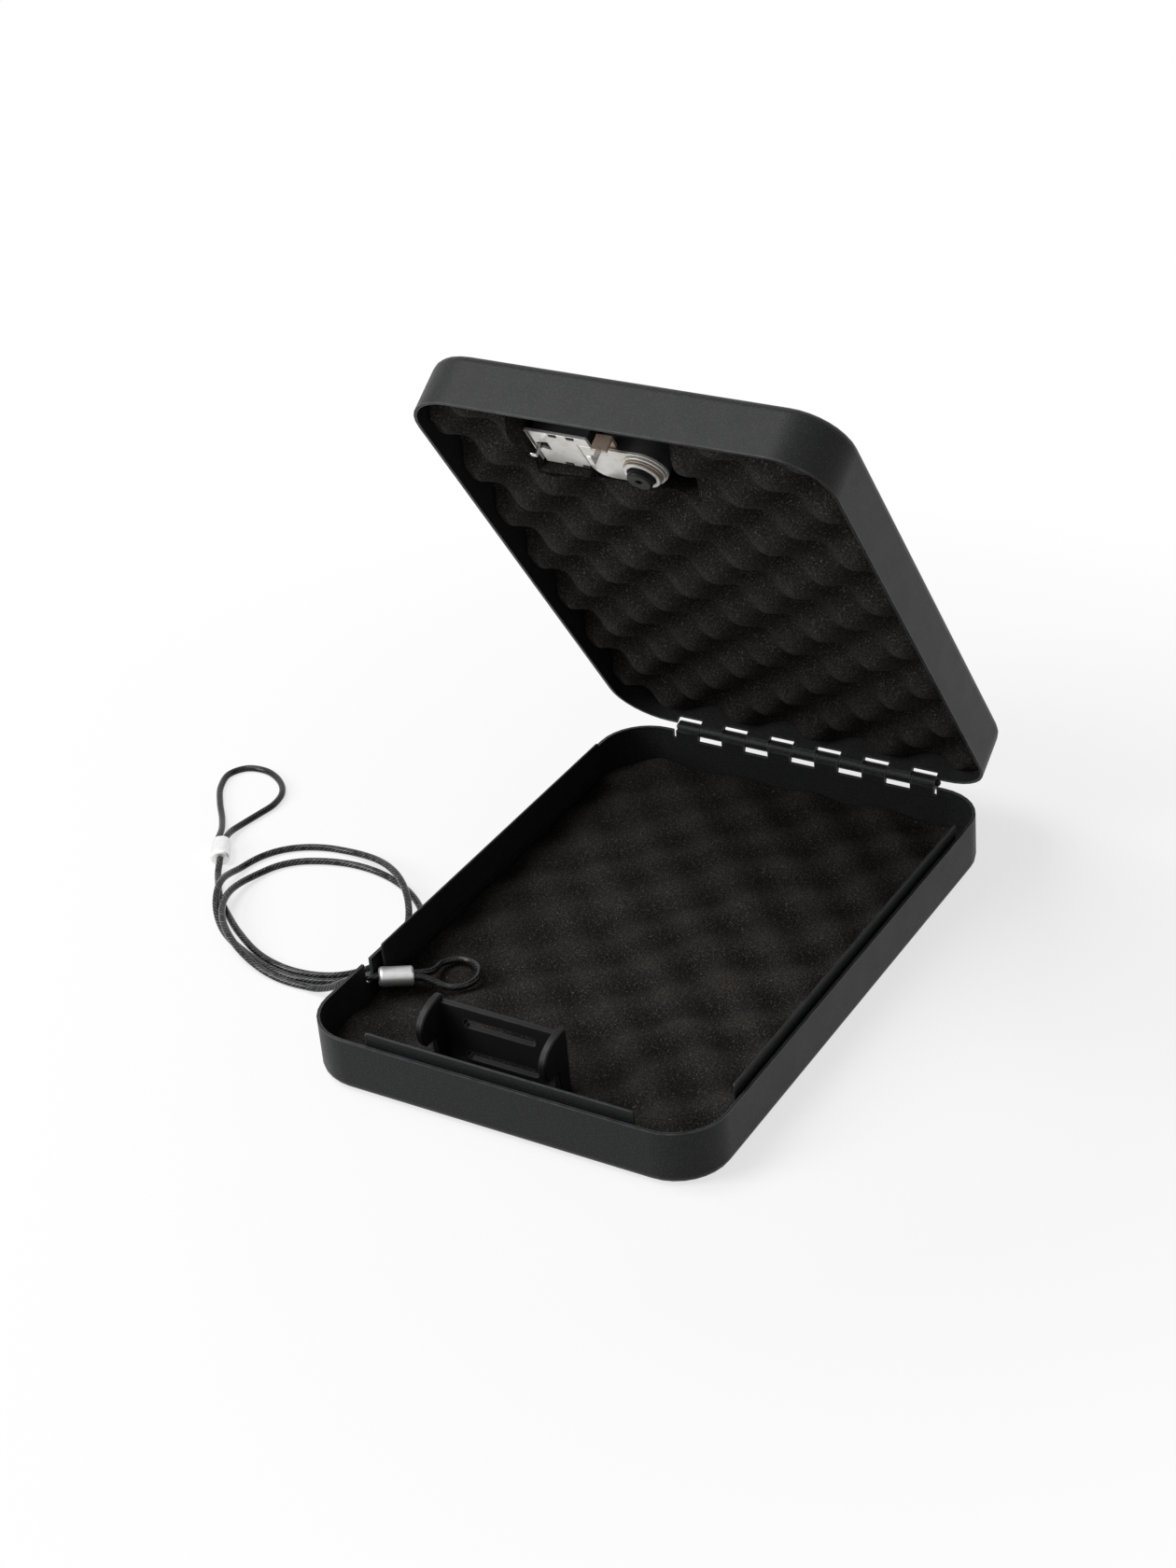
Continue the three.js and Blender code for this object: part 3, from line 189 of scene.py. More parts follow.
# Where a turn passes over another: the middle angle, the half angle and the rise
COIL_HUMPS = ((410, 50, 4.6), (544, 32, 4.6), (928, 64, 4.6))

# Run of the cable between its eyes, in metres along it, where the strands show in full; in the eyes they show
# only by the share seen_in_eyes
PLAIN_RUN = {"middle": 0.435, "half": 0.346, "fade": 0.006, "seen_in_eyes": 0.3}

# Distance from an outer edge at which a finish is no longer rubbed thin and no longer carries its painted
# highlight
WEAR_AND_HIGHLIGHT_REACH = 0.7 * MM

# Lock plate: the narrow edge that runs round its front and left side
PLATE_LEFT = -47.7 * MM
PLATE_RIGHT = -22.3 * MM
PLATE_FRONT = -91.4 * MM
PLATE_BACK = -71.6 * MM
PLATE_RIM = 0.4 * MM
PLATE_RIM_ROUND = 0.1 * MM
PLATE_FACE = 32.8 * MM
PLATE_SHEET = 1.2 * MM

# Latch hook: the heights, lid closed, at which its passivation begins to wear off and is all gone
HOOK_WORN = {"begins": 29.7 * MM, "gone": 29.2 * MM}
HOOK_TINT = 1.3

# Stains of the bright metals, and the cast body's colour
ZINC_STAIN = (0.62, 0.57, 0.49)
STEEL_STAIN = (0.42, 0.41, 0.40)
WASHER_STAIN = (0.26, 0.16, 0.10)
HOOK_STAIN = (0.30, 0.20, 0.13)
CAST_COLOUR = (0.055, 0.055, 0.058)

# Number wheels: the rim is lowest under a number's middle and rises from there, up and down, by its slope
WHEEL_X = (-38.2 * MM, -32.2 * MM, -26.2 * MM)
WHEEL_Y = -79.5 * MM
WHEEL_Z = 40.5 * MM
WHEEL_HOLLOW = 5.65 * MM
WHEEL_SLOPE = {"run": 0.911 * MM, "rise": 0.103 * MM}
WHEEL_DIGITS = 10

# Digits: a digit's height as a share of the font's size, its thickness, and the cuts that let it bend
DIGIT_SHARE = 0.7
DIGIT_SHEET = 0.03 * MM
DIGIT_CUTS = range(-3, 4)

# Camera, fitted to the photograph
CAMERA_PLACE = (0.48158, -0.78357, 0.62749)
CAMERA_YAW = radians(32.958)
CAMERA_PITCH = radians(-30.827)
CAMERA_ROLL = radians(-5.156)
CAMERA_LENS = 67.24
CAMERA_SENSOR = 36.0
CAMERA_NEAR = 0.01

# Studio: half the floor's side, and the square soft lights
FLOOR_REACH = 6.0
LIGHT_SIZE = 0.8
TOP_LIGHT = {"place": (-0.6, -0.3, 1.35), "aim": (0, 0, 0.1)}
FRONT_LIGHT = {"place": (-1.2, -1.2, 0.9), "aim": (0, 0, 0.08)}


def lid_place():
    """The matrix that turns a piece of the closed lid to its open place."""
    turn = Matrix.Rotation(LID_OPEN, 4, "X")
    return Matrix.Translation(HINGE_AXIS) @ turn @ Matrix.Translation(-HINGE_AXIS)


# Settings a user would change


def colour_setting(name, description, default):
    """A colour as a property."""
    return FloatVectorProperty(
        name=name, description=description, subtype="COLOR", default=default, min=0, max=1,
    )


def size_setting(name, description, default, limits):
    """A small size as a property. Its default and its two limits are in millimetres."""
    return FloatProperty(
        name=name, description=description, unit="LENGTH", default=default * MM, min=limits[0] * MM,
        max=limits[1] * MM, precision=5,
    )


class CaseSettings(PropertyGroup):
    paint: colour_setting("Paint", "Powder coat of the shells, lips and hinge", (0.0125, 0.0128, 0.0133))
    paint_grain: size_setting("Paint grain", "Width of a grain of the powder coat", 0.55, (0.05, 5))
    plastic: colour_setting("Moulded plastic", "Catch, bezel, wheels and button", (0.0090, 0.0090, 0.0095))
    sheet_edge: size_setting(
        "Sheet edge", "Rounding along the cut edges of the steel sheet", 0.3, (0.02, 0.5),
    )
    moulded_edge: size_setting(
        "Moulded edge", "Rounding along the edges of the moulded parts", 0.35, (0.02, 1),
    )


class FoamSettings(PropertyGroup):
    colour: colour_setting("Foam", "Open-cell foam", (0.0132, 0.0124, 0.0118))
    pore: size_setting("Pore", "Width of a pore of the foam", 0.95, (0.1, 5))
    lid_middle: size_setting(
        "Lid foam height", "Height of the lid foam's mean surface, lid closed", 29.4, (25, 38),
    )
    lid_wave: size_setting(
        "Lid foam wave", "Rise of the lid foam's egg-crate surface either side of its mean", 4.4, (0, 6),
    )
    tray_middle: size_setting("Tray foam height", "Height of the tray foam's mean surface", 6.6, (4, 12))
    tray_wave: size_setting(
        "Tray foam wave", "Rise of the tray foam's surface either side of its mean", 1.45, (0, 3),
    )


class CableSettings(PropertyGroup):
    cover: colour_setting("Cover", "Clear black cover of the cable", (0.006, 0.006, 0.0065))
    strand: colour_setting("Strand", "Steel strands that shine through the cover", (0.17, 0.173, 0.177))
    lay_length: size_setting(
        "Lay length", "Length in which a strand winds once round the cable", 11, (3, 40),
    )
    strands: IntProperty(
        name="Strands", description="Strands round the cable's core", default=6, min=3, max=12,
    )
    sides: IntProperty(name="Sides", description="Faces round the cable", default=14, min=6, max=32)


class LockSettings(PropertyGroup):
    zinc: colour_setting("Zinc", "Bright zinc of the lock's plates", (0.76, 0.745, 0.715))
    steel: colour_setting("Bright steel", "Rivets, screws, lever and springs", (0.62, 0.62, 0.61))
    bronze: colour_setting("Passivated steel", "Hook and washer", (0.42, 0.33, 0.26))
    digit: colour_setting("Digits", "Paint of the digits on the wheels", (0.75, 0.75, 0.73))
    digit_height: size_setting("Digit height", "Height of a digit on a wheel", 2.2, (1, 3))


class StageSettings(PropertyGroup):
    floor: colour_setting("Floor", "Colour of the floor", (0.85, 0.85, 0.85))
    shadow: FloatProperty(
        name="Shadow", description="Share of the floor's shadow that the camera sees", subtype="FACTOR",
        default=0.3, min=0, max=1,
    )
    shadow_reach: FloatProperty(
        name="Shadow reach", description="Distance from the case at which the shadow has faded out",
        unit="LENGTH", default=0.4, min=0.1, max=3,
    )
    top_light: FloatProperty(
        name="Top light", description="Power of the soft light above the case", unit="POWER",
        default=14, min=0, max=200,
    )
    front_light: FloatProperty(
        name="Front light", description="Power of the soft light on the camera's left", unit="POWER",
        default=20, min=0, max=200,
    )
    room: FloatProperty(
        name="Room", description="Strength of the light from all round", default=0.25, min=0, max=2,
    )


# Node trees


def node(tree, kind, inputs=None, **settings):
    """A new node with its settings and the values of its inputs."""
    made = tree.nodes.new(kind)
    for name, value in settings.items():
        setattr(made, name, value)
    for name, value in (inputs or {}).items():
        made.inputs[name].default_value = value
    return made


def wire(tree, *links):
    """Links nodes. A link is the source node and its output, and the target node and its input."""
    for source, output, target, socket in links:
        tree.links.new(source.outputs[output], target.inputs[socket])


VALUE = "NodeSocketFloat"
COLOUR = "NodeSocketColor"
VECTOR = "NodeSocketVector"
GRAIN_OUTPUTS = {"Colour": COLOUR, "Roughness": VALUE, "Normal": VECTOR}


def effect(name, inputs, outputs):
    """An empty shader node group with named sockets, and its two ends."""
    group = bpy.data.node_groups.new(name, "ShaderNodeTree")
    for label, kind in inputs.items():
        group.interface.new_socket(label, in_out="INPUT", socket_type=kind)
    for label, kind in outputs.items():
        group.interface.new_socket(label, in_out="OUTPUT", socket_type=kind)
    return group, group.nodes.new("NodeGroupInput"), group.nodes.new("NodeGroupOutput")


def grain_ends(group, start, end, uneven_finish, relief, mix):
    """The half that grain groups share: roughness spread about its middle, a fine bump and the outputs."""
    centred = node(group, "ShaderNodeMath", {1: 0.5}, operation="SUBTRACT")
    spread = node(group, "ShaderNodeMath", operation="MULTIPLY_ADD")
    bump = node(group, "ShaderNodeBump", {"Strength": 1.0})
    wire(
        group,
        (uneven_finish, "Fac", centred, 0),
        (centred, 0, spread, 0),
        (start, "Roughness Spread", spread, 1),
        (start, "Roughness", spread, 2),
        (relief, "Fac", bump, "Height"),
        (start, "Depth", bump, "Distance"),
        (mix, "Result", end, "Colour"),
        (spread, 0, end, "Roughness"),
        (bump, "Normal", end, "Normal"),
    )


def fine_grain():
    """Grain of powder coat or moulded plastic: mottled colour, uneven gloss and a fine bump."""
    if "Fine grain" in bpy.data.node_groups:
        return bpy.data.node_groups["Fine grain"]
    inputs = {
        "Place": VECTOR, "Grain Width": VALUE, "Colour": COLOUR, "Fleck": COLOUR, "Fleck Amount": VALUE,
        "Roughness": VALUE, "Roughness Spread": VALUE, "Depth": VALUE,
    }
    group, start, end = effect("Fine grain", inputs, GRAIN_OUTPUTS)
    per_metre = node(group, "ShaderNodeMath", {0: 1.0}, operation="DIVIDE")
    broad = node(group, "ShaderNodeMath", {1: 0.05}, operation="MULTIPLY")
    grain = node(group, "ShaderNodeTexNoise", {"Detail": 2.0, "Roughness": 0.6})
    cloud = node(group, "ShaderNodeTexNoise", {"Detail": 3.0})
    fleck = node(group, "ShaderNodeMapRange", {"From Min": 0.5, "From Max": 0.72})
    share = node(group, "ShaderNodeMath", operation="MULTIPLY")
    mix = node(group, "ShaderNodeMix", data_type="RGBA")
    wire(
        group,
        (start, "Grain Width", per_metre, 1),
        (per_metre, 0, grain, "Scale"),
        (per_metre, 0, broad, 0),
        (broad, 0, cloud, "Scale"),
        (start, "Place", grain, "Vector"),
        (start, "Place", cloud, "Vector"),
        (grain, "Fac", fleck, "Value"),
        (fleck, "Result", share, 0),
        (start, "Fleck Amount", share, 1),
        (share, 0, mix, "Factor"),
        (start, "Colour", mix, "A"),
        (start, "Fleck", mix, "B"),
    )
    grain_ends(group, start, end, cloud, grain, mix)
    return group


def brushed_grain():
    """Fine parallel lines of brushed or rolled metal, with a slightly stained colour."""
    if "Brushed grain" in bpy.data.node_groups:
        return bpy.data.node_groups["Brushed grain"]
    inputs = {
        "Place": VECTOR, "Line Width": VALUE, "Colour": COLOUR, "Stain": COLOUR, "Roughness": VALUE,
        "Roughness Spread": VALUE, "Depth": VALUE,
    }
    group, start, end = effect("Brushed grain", inputs, GRAIN_OUTPUTS)
    per_metre = node(group, "ShaderNodeMath", {0: 1.0}, operation="DIVIDE")
    stretch = node(group, "ShaderNodeVectorMath", {1: (0.04, 1.0, 1.0)}, operation="MULTIPLY")
    lines = node(group, "ShaderNodeTexNoise", {"Detail": 2.0})
    stains = node(group, "ShaderNodeTexNoise", {"Scale": 260.0, "Detail": 4.0, "Roughness": 0.65})
    stained = node(group, "ShaderNodeMapRange", {"From Min": 0.48, "From Max": 0.75})
    mix = node(group, "ShaderNodeMix", data_type="RGBA")
    wire(
        group,
        (start, "Line Width", per_metre, 1),
        (start, "Place", stretch, 0),
        (stretch, 0, lines, "Vector"),
        (per_metre, 0, lines, "Scale"),
        (start, "Place", stains, "Vector"),
        (stains, "Fac", stained, "Value"),
        (stained, "Result", mix, "Factor"),
        (start, "Colour", mix, "A"),
        (start, "Stain", mix, "B"),
    )
    grain_ends(group, start, end, lines, lines, mix)
    return group


def edge_wear():
    """A finish made lighter along outer edges, where the cover of the material over a point is small: partly
    rubbed thinner, partly a painted highlight on the rims.
    """
    if "Edge wear" in bpy.data.node_groups:
        return bpy.data.node_groups["Edge wear"]
    inputs = {"Place": VECTOR, "Cover": VALUE, "Colour": COLOUR, "Worn And Highlight Colour": COLOUR}
    group, start, end = effect("Edge wear", inputs, {"Colour": COLOUR})
    edge = node(group, "ShaderNodeMapRange", {"From Min": 0.92, "From Max": 0.5})
    rubs = node(group, "ShaderNodeTexNoise", {"Scale": 180.0, "Detail": 3.0, "Roughness": 0.6})
    uneven_rub = node(group, "ShaderNodeMapRange", {"From Min": 0.35, "From Max": 0.65, "To Min": 0.35})
    share = node(group, "ShaderNodeMath", operation="MULTIPLY")
    mix = node(group, "ShaderNodeMix", data_type="RGBA")
    wire(
        group,
        (start, "Cover", edge, "Value"),
        (start, "Place", rubs, "Vector"),
        (rubs, "Fac", uneven_rub, "Value"),
        (edge, "Result", share, 0),
        (uneven_rub, "Result", share, 1),
        (share, 0, mix, "Factor"),
        (start, "Colour", mix, "A"),
        (start, "Worn And Highlight Colour", mix, "B"),
        (mix, "Result", end, "Colour"),
    )
    return group


def blank_material(name, **sockets):
    """A material with one Principled shader, the shader's plain values set, and Object coordinates ready."""
    material = bpy.data.materials.new(name)
    material.use_nodes = True
    tree = material.node_tree
    shader = tree.nodes["Principled BSDF"]
    for label, value in sockets.items():
        shader.inputs[label.replace("_", " ")].default_value = value
    return material, tree, shader, node(tree, "ShaderNodeTexCoord")


def rgba(colour, times=1.0):
    """A colour with its alpha, made lighter or darker by a factor."""
    return (colour[0] * times, colour[1] * times, colour[2] * times, 1.0)


def grained(name, colour, grain, roughness, depth, fleck=2.2, amount=0.35, spread=0.12, brightening=1.0, **sockets):
    """A painted or moulded finish from the fine grain, lighter by the factor brightening along its outer
    edges: partly the finish rubbed thin, partly a painted highlight.
    """
    material, tree, shader, place = blank_material(name, **sockets)
    values = {
        "Grain Width": grain, "Colour": rgba(colour), "Fleck": rgba(colour, fleck), "Fleck Amount": amount,
        "Roughness": roughness, "Roughness Spread": spread, "Depth": depth,
    }
    finish = node(tree, "ShaderNodeGroup", values, node_tree=fine_grain())
    # Where the cover of the material is small, along outer edges, the colour is made lighter: partly paint
    # rubbed thin, partly a painted highlight.
    cover = node(
        tree, "ShaderNodeAmbientOcclusion", {"Distance": WEAR_AND_HIGHLIGHT_REACH}, samples=8, inside=True, only_local=True,
    )
    wear = node(tree, "ShaderNodeGroup", {"Worn And Highlight Colour": rgba(colour, brightening)}, node_tree=edge_wear())
    wire(
        tree,
        (place, "Object", finish, "Place"),
        (place, "Object", wear, "Place"),
        (cover, "AO", wear, "Cover"),
        (finish, "Colour", wear, "Colour"),
        (wear, "Colour", shader, "Base Color"),
        (finish, "Roughness", shader, "Roughness"),
        (finish, "Normal", shader, "Normal"),
    )
    return material


def brushed(name, colour, stain, roughness, line, depth, turn=0.0, spread=0.15, metallic=1.0):
    """A bare metal finish from the brushed grain, its lines turned from X about Z."""
    material, tree, shader, place = blank_material(name, Metallic=metallic)
    values = {
        "Line Width": line, "Colour": rgba(colour), "Stain": rgba(stain),
        "Roughness": roughness, "Roughness Spread": spread, "Depth": depth,
    }
    finish = node(tree, "ShaderNodeGroup", values, node_tree=brushed_grain())
    turned = node(tree, "ShaderNodeMapping", {"Rotation": (0.0, 0.0, turn)})
    wire(
        tree,
        (place, "Object", turned, "Vector"),
        (turned, "Vector", finish, "Place"),
        (finish, "Colour", shader, "Base Color"),
        (finish, "Roughness", shader, "Roughness"),
        (finish, "Normal", shader, "Normal"),
    )
    return material


def hook_material(settings):
    """Passivated steel, rubbed to bright metal on the nose that enters the catch."""
    material = brushed(
        "Latch hook steel", [share * HOOK_TINT for share in settings.bronze], HOOK_STAIN, roughness=0.42,
        line=0.2 * MM, depth=0.012 * MM, metallic=0.5,
    )
    tree = material.node_tree
    shader = tree.nodes["Principled BSDF"]
    steel = shader.inputs["Base Color"].links[0].from_node
    place = lid_place()
    upwards = place.to_3x3() @ Vector((0, 0, 1))
    origin = place.translation.dot(upwards)
    coordinates = node(tree, "ShaderNodeTexCoord")
    height = node(tree, "ShaderNodeVectorMath", {1: upwards}, operation="DOT_PRODUCT")
    brightening = {"From Min": origin + HOOK_WORN["begins"], "From Max": origin + HOOK_WORN["gone"]}
    nose = node(tree, "ShaderNodeMapRange", brightening)
    mix = node(tree, "ShaderNodeMix", {"B": rgba(settings.zinc)}, data_type="RGBA")
    wire(
        tree,
        (coordinates, "Object", height, 0),
        (height, "Value", nose, "Value"),
        (nose, "Result", mix, "Factor"),
        (steel, "Colour", mix, "A"),
        (mix, "Result", shader, "Base Color"),
    )
    return material


def foam_material(settings):
    """Black open-cell foam with a warm tint, its colour holding painted light and shade: pores painted
    darker, bright flecks painted where cell walls catch the light, and the waves' hollows painted darker and
    their bumps lighter by the crest attribute.
    """
    name = "Open-cell foam"
    if name in bpy.data.materials:
        return bpy.data.materials[name]
    material, tree, shader, place = blank_material(name, Specular_IOR_Level=0.06, Roughness=0.95)
    warm = [share * more for share, more in zip(settings.colour, FOAM_WARMTH)]
    pores = node(tree, "ShaderNodeTexVoronoi", {"Scale": 1.0 / settings.pore})
    fibres = node(tree, "ShaderNodeTexNoise", {"Scale": 1.3 / settings.pore, "Detail": 3.0, "Roughness": 0.7})
    patches = node(tree, "ShaderNodeTexNoise", {"Scale": 0.03 / settings.pore, "Detail": 4.0})
    depth = node(tree, "ShaderNodeMath", operation="ADD")
    bump = node(tree, "ShaderNodeBump", {"Strength": 1.0, "Distance": 0.4 * MM})
    # Pores are painted darker: painted shade in the foam's holes.
    pore_shade = node(tree, "ShaderNodeMapRange", {"From Max": 0.6, "To Min": 0.35, "To Max": 1.4})
    # A mask of bright flecks, seven times the foam's colour, where cell walls catch the light: painted
    # glints.
    brightening = node(tree, "ShaderNodeMapRange", {"From Min": 0.56, "From Max": 0.7})
    tint = node(tree, "ShaderNodeMix", {"A": rgba(settings.colour, 0.75), "B": rgba(warm)}, data_type="RGBA")
    # The crest attribute paints shade and light: a wave's hollows are painted darker, down to half the
    # colour, and its bumps lighter, up to one and a half.
    crest = node(tree, "ShaderNodeAttribute", attribute_name="crest")
    lit = node(tree, "ShaderNodeMapRange", {"From Min": -1.0, "From Max": 1.0, "To Min": 0.5, "To Max": 1.5})
    shading = node(tree, "ShaderNodeMath", operation="MULTIPLY")
    shade = node(tree, "ShaderNodeVectorMath", operation="SCALE")
    fleck = node(tree, "ShaderNodeMix", {"B": rgba(settings.colour, 7.0)}, data_type="RGBA")
    wire(
        tree,
        (place, "Object", pores, "Vector"),
        (place, "Object", fibres, "Vector"),
        (place, "Object", patches, "Vector"),
        (pores, "Distance", depth, 0),
        (fibres, "Fac", depth, 1),
        (depth, 0, bump, "Height"),
        (bump, "Normal", shader, "Normal"),
        (pores, "Distance", pore_shade, "Value"),
        (patches, "Fac", tint, "Factor"),
        (tint, "Result", shade, 0),
        (crest, "Fac", lit, "Value"),
        (pore_shade, "Result", shading, 0),
        (lit, "Result", shading, 1),
        (shading, 0, shade, "Scale"),
        (fibres, "Fac", brightening, "Value"),
        (brightening, "Result", fleck, "Factor"),
        (shade, 0, fleck, "A"),
        (fleck, "Result", shader, "Base Color"),
    )
    return material


def cable_material(settings):
    """Clear black cover over twisted strands. The piece's UV map runs along the cable and once round it."""
    material, tree, shader, place = blank_material(
        "Cable cover", Roughness=0.5, IOR=1.2, Specular_IOR_Level=0.22, Coat_Weight=0.85, Coat_IOR=1.3,
        Coat_Roughness=0.1,
    )
    split = node(tree, "ShaderNodeSeparateXYZ")
    along = node(tree, "ShaderNodeMath", {1: 1.0 / settings.lay_length}, operation="MULTIPLY")
    helix = node(tree, "ShaderNodeMath", operation="ADD")
    turns = node(tree, "ShaderNodeMath", {1: 2 * pi * settings.strands}, operation="MULTIPLY")
    wave = node(tree, "ShaderNodeMath", operation="SINE")
    ridge = node(tree, "ShaderNodeMapRange", {"From Min": 0.35, "From Max": 1.0})
    patches = node(tree, "ShaderNodeTexNoise", {"Scale": 420.0, "Detail": 2.0})
    seen = node(tree, "ShaderNodeMapRange", {"From Min": 0.36, "From Max": 0.66})
    share = node(tree, "ShaderNodeMath", operation="MULTIPLY")
    # Outside the run, in the eyes, the strands show less and the cable is darker.
    from_middle = node(tree, "ShaderNodeMath", {1: PLAIN_RUN["middle"]}, operation="SUBTRACT")
    away = node(tree, "ShaderNodeMath", operation="ABSOLUTE")
    fading = {"From Min": PLAIN_RUN["half"] + PLAIN_RUN["fade"], "From Max": PLAIN_RUN["half"]}
    clear = node(tree, "ShaderNodeMapRange", {**fading, "To Min": PLAIN_RUN["seen_in_eyes"]})
    strands = node(tree, "ShaderNodeMath", operation="MULTIPLY")
    colours = {"A": rgba(settings.cover), "B": rgba(settings.strand)}
    mix = node(tree, "ShaderNodeMix", colours, data_type="RGBA")
    bump = node(tree, "ShaderNodeBump", {"Strength": 0.5, "Distance": 0.03 * MM})
    wire(
        tree,
        (place, "UV", split, 0),
        (split, "X", along, 0),
        (along, 0, helix, 0),
        (split, "Y", helix, 1),
        (helix, 0, turns, 0),
        (turns, 0, wave, 0),
        (wave, 0, ridge, "Value"),
        (place, "Object", patches, "Vector"),
        (patches, "Fac", seen, "Value"),
        (ridge, "Result", share, 0),
        (seen, "Result", share, 1),
        (split, "X", from_middle, 0),
        (from_middle, 0, away, 0),
        (away, 0, clear, "Value"),
        (share, 0, strands, 0),
        (clear, "Result", strands, 1),
        (strands, 0, mix, "Factor"),
        (mix, "Result", shader, "Base Color"),
        (wave, 0, bump, "Height"),
        (bump, "Normal", shader, "Normal"),
    )
    return material


# Meshes


def piece(name, mesh_of, material, body, smooth=True):
    """A new piece from a bmesh, finished and riding on a body."""
    bmesh.ops.recalc_face_normals(mesh_of, faces=mesh_of.faces)
    mesh = bpy.data.meshes.new(name)
    mesh_of.to_mesh(mesh)
    mesh_of.free()
    made = bpy.data.objects.new(name, mesh)
    bpy.context.scene.collection.objects.link(made)
    mesh.materials.append(material)
    if smooth:
        mesh.shade_smooth()
    else:
        mesh.shade_flat()
    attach(made, body)
    return made


def only(elements, kind):
    """The vertices, edges or faces among the elements of a bmesh."""
    return [element for element in elements if isinstance(element, kind)]


def round_edges(mesh_of, edges, width):
    """Rounds edges of a bmesh in two steps."""
    bmesh.ops.bevel(
        mesh_of, geom=edges, offset=width, affect="EDGES", segments=2, profile=0.5, material=-1,
        offset_type="OFFSET",
    )


def smoothing_nodes():
    """Geometry nodes that drop a CAD mesh's own normals and mark its sharp edges by their angle."""
    name = "Smooth by angle"
    if name in bpy.data.node_groups:
        return bpy.data.node_groups[name]
    group = bpy.data.node_groups.new(name, "GeometryNodeTree")
    group.interface.new_socket("Mesh", in_out="INPUT", socket_type="NodeSocketGeometry")
    group.interface.new_socket("Mesh", in_out="OUTPUT", socket_type="NodeSocketGeometry")
    start = group.nodes.new("NodeGroupInput")
    end = group.nodes.new("NodeGroupOutput")
    angle = node(group, "GeometryNodeInputMeshEdgeAngle")
    sharp = node(group, "FunctionNodeCompare", {"B": SHARP}, data_type="FLOAT", operation="GREATER_THAN")
    normals = node(group, "GeometryNodeSetMeshNormal", {"Remove Custom": True}, mode="SHARPNESS")
    wire(
        group,
        (start, "Mesh", normals, "Mesh"),
        (angle, "Unsigned Angle", sharp, "A"),
        (sharp, "Result", normals, "Edge Sharpness"),
        (normals, "Mesh", end, "Mesh"),
    )
    return group


def dress(names, material, edge):
    """Gives CAD nodes a finish and rounded edges, with modifiers alone."""
    for name in names:
        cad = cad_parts[name]
        for slot in cad.material_slots:
            slot.material = material
        merged = cad.modifiers.new("Merge", "WELD")
        merged.merge_threshold = SAME_POINT
        flat = cad.modifiers.new("Flat faces", "DECIMATE")
        flat.decimate_type = "DISSOLVE"
        flat.angle_limit = SAME_PLANE
        normals = cad.modifiers.new("Normals", "NODES")
        normals.node_group = smoothing_nodes()
        rounded = cad.modifiers.new("Edges", "BEVEL")
        rounded.width = edge
        rounded.segments = 2
        rounded.limit_method = "ANGLE"
        rounded.angle_limit = SHARP
        even = cad.modifiers.new("Even shading", "WEIGHTED_NORMAL")
        even.mode = "FACE_AREA"
        even.keep_sharp = True


def wave_at(x, y):
    """The egg-crate wave, from -1 in a hollow to 1 on a bump."""
    across = pi * (x - WAVE_CENTRE[0]) / WAVE_CELL[0]
    along = pi * (y - WAVE_CENTRE[1]) / WAVE_CELL[1]
    return cos(across) * cos(along)


def eased(share):
    """A share held between 0 and 1, with soft ends."""
    share = min(1.0, max(0.0, share))
    return share * share * (3 - 2 * share)


def wandering(x, y, wander):
    """A slow, uneven shift of a point of the foam, up to the wander's size either way."""
    over = wander["over"]
    return wander["size"] * noise.noise(Vector((x / over, y / over, 0.0)))


def inside_edge(x, y):
    """How far a point lies inside the foam's outline, a rounded rectangle."""
    over_x = max(0.0, abs(x) - (FOAM_HALF[0] - FOAM_CORNER))
    over_y = max(0.0, abs(y) - (FOAM_HALF[1] - FOAM_CORNER))
    if over_x > 0 and over_y > 0:
        return FOAM_CORNER - (over_x ** 2 + over_y ** 2) ** 0.5
    return min(FOAM_HALF[0] - abs(x), FOAM_HALF[1] - abs(y))


def foam_sheet(cut_x, cut_y, is_cut):
    """A fine flat grid in the foam's outline, cut along lines, with the faces of its cut-out taken away."""
    sheet = bmesh.new()
    sheet.verts.layers.float.new("crest")
    columns = ceil(2 * FOAM_HALF[0] / FOAM_CELL)
    rows = ceil(2 * FOAM_HALF[1] / FOAM_CELL)
    bmesh.ops.create_grid(sheet, x_segments=columns, y_segments=rows, size=1.0)
    bmesh.ops.scale(sheet, vec=(*FOAM_HALF, 1.0), verts=sheet.verts)
    straight = (FOAM_HALF[0] - FOAM_CORNER, FOAM_HALF[1] - FOAM_CORNER)
    for vert in sheet.verts:
        u = (abs(vert.co.x) - straight[0]) / FOAM_CORNER
        v = (abs(vert.co.y) - straight[1]) / FOAM_CORNER
        if u > 0 and v > 0:
            side_x = 1 if vert.co.x > 0 else -1
            side_y = 1 if vert.co.y > 0 else -1
            vert.co.x = side_x * (straight[0] + FOAM_CORNER * u * (1 - v * v / 2) ** 0.5)
            vert.co.y = side_y * (straight[1] + FOAM_CORNER * v * (1 - u * u / 2) ** 0.5)
    planes = [((x, 0, 0), (1, 0, 0)) for x in cut_x] + [((0, y, 0), (0, 1, 0)) for y in cut_y]
    for place, direction in planes:
        everything = sheet.verts[:] + sheet.edges[:] + sheet.faces[:]
        bmesh.ops.bisect_plane(sheet, geom=everything, dist=ON_CUT, plane_co=place, plane_no=direction)
    away = [face for face in sheet.faces if is_cut(face.calc_center_median())]
    bmesh.ops.delete(sheet, geom=away, context="FACES")
    return sheet


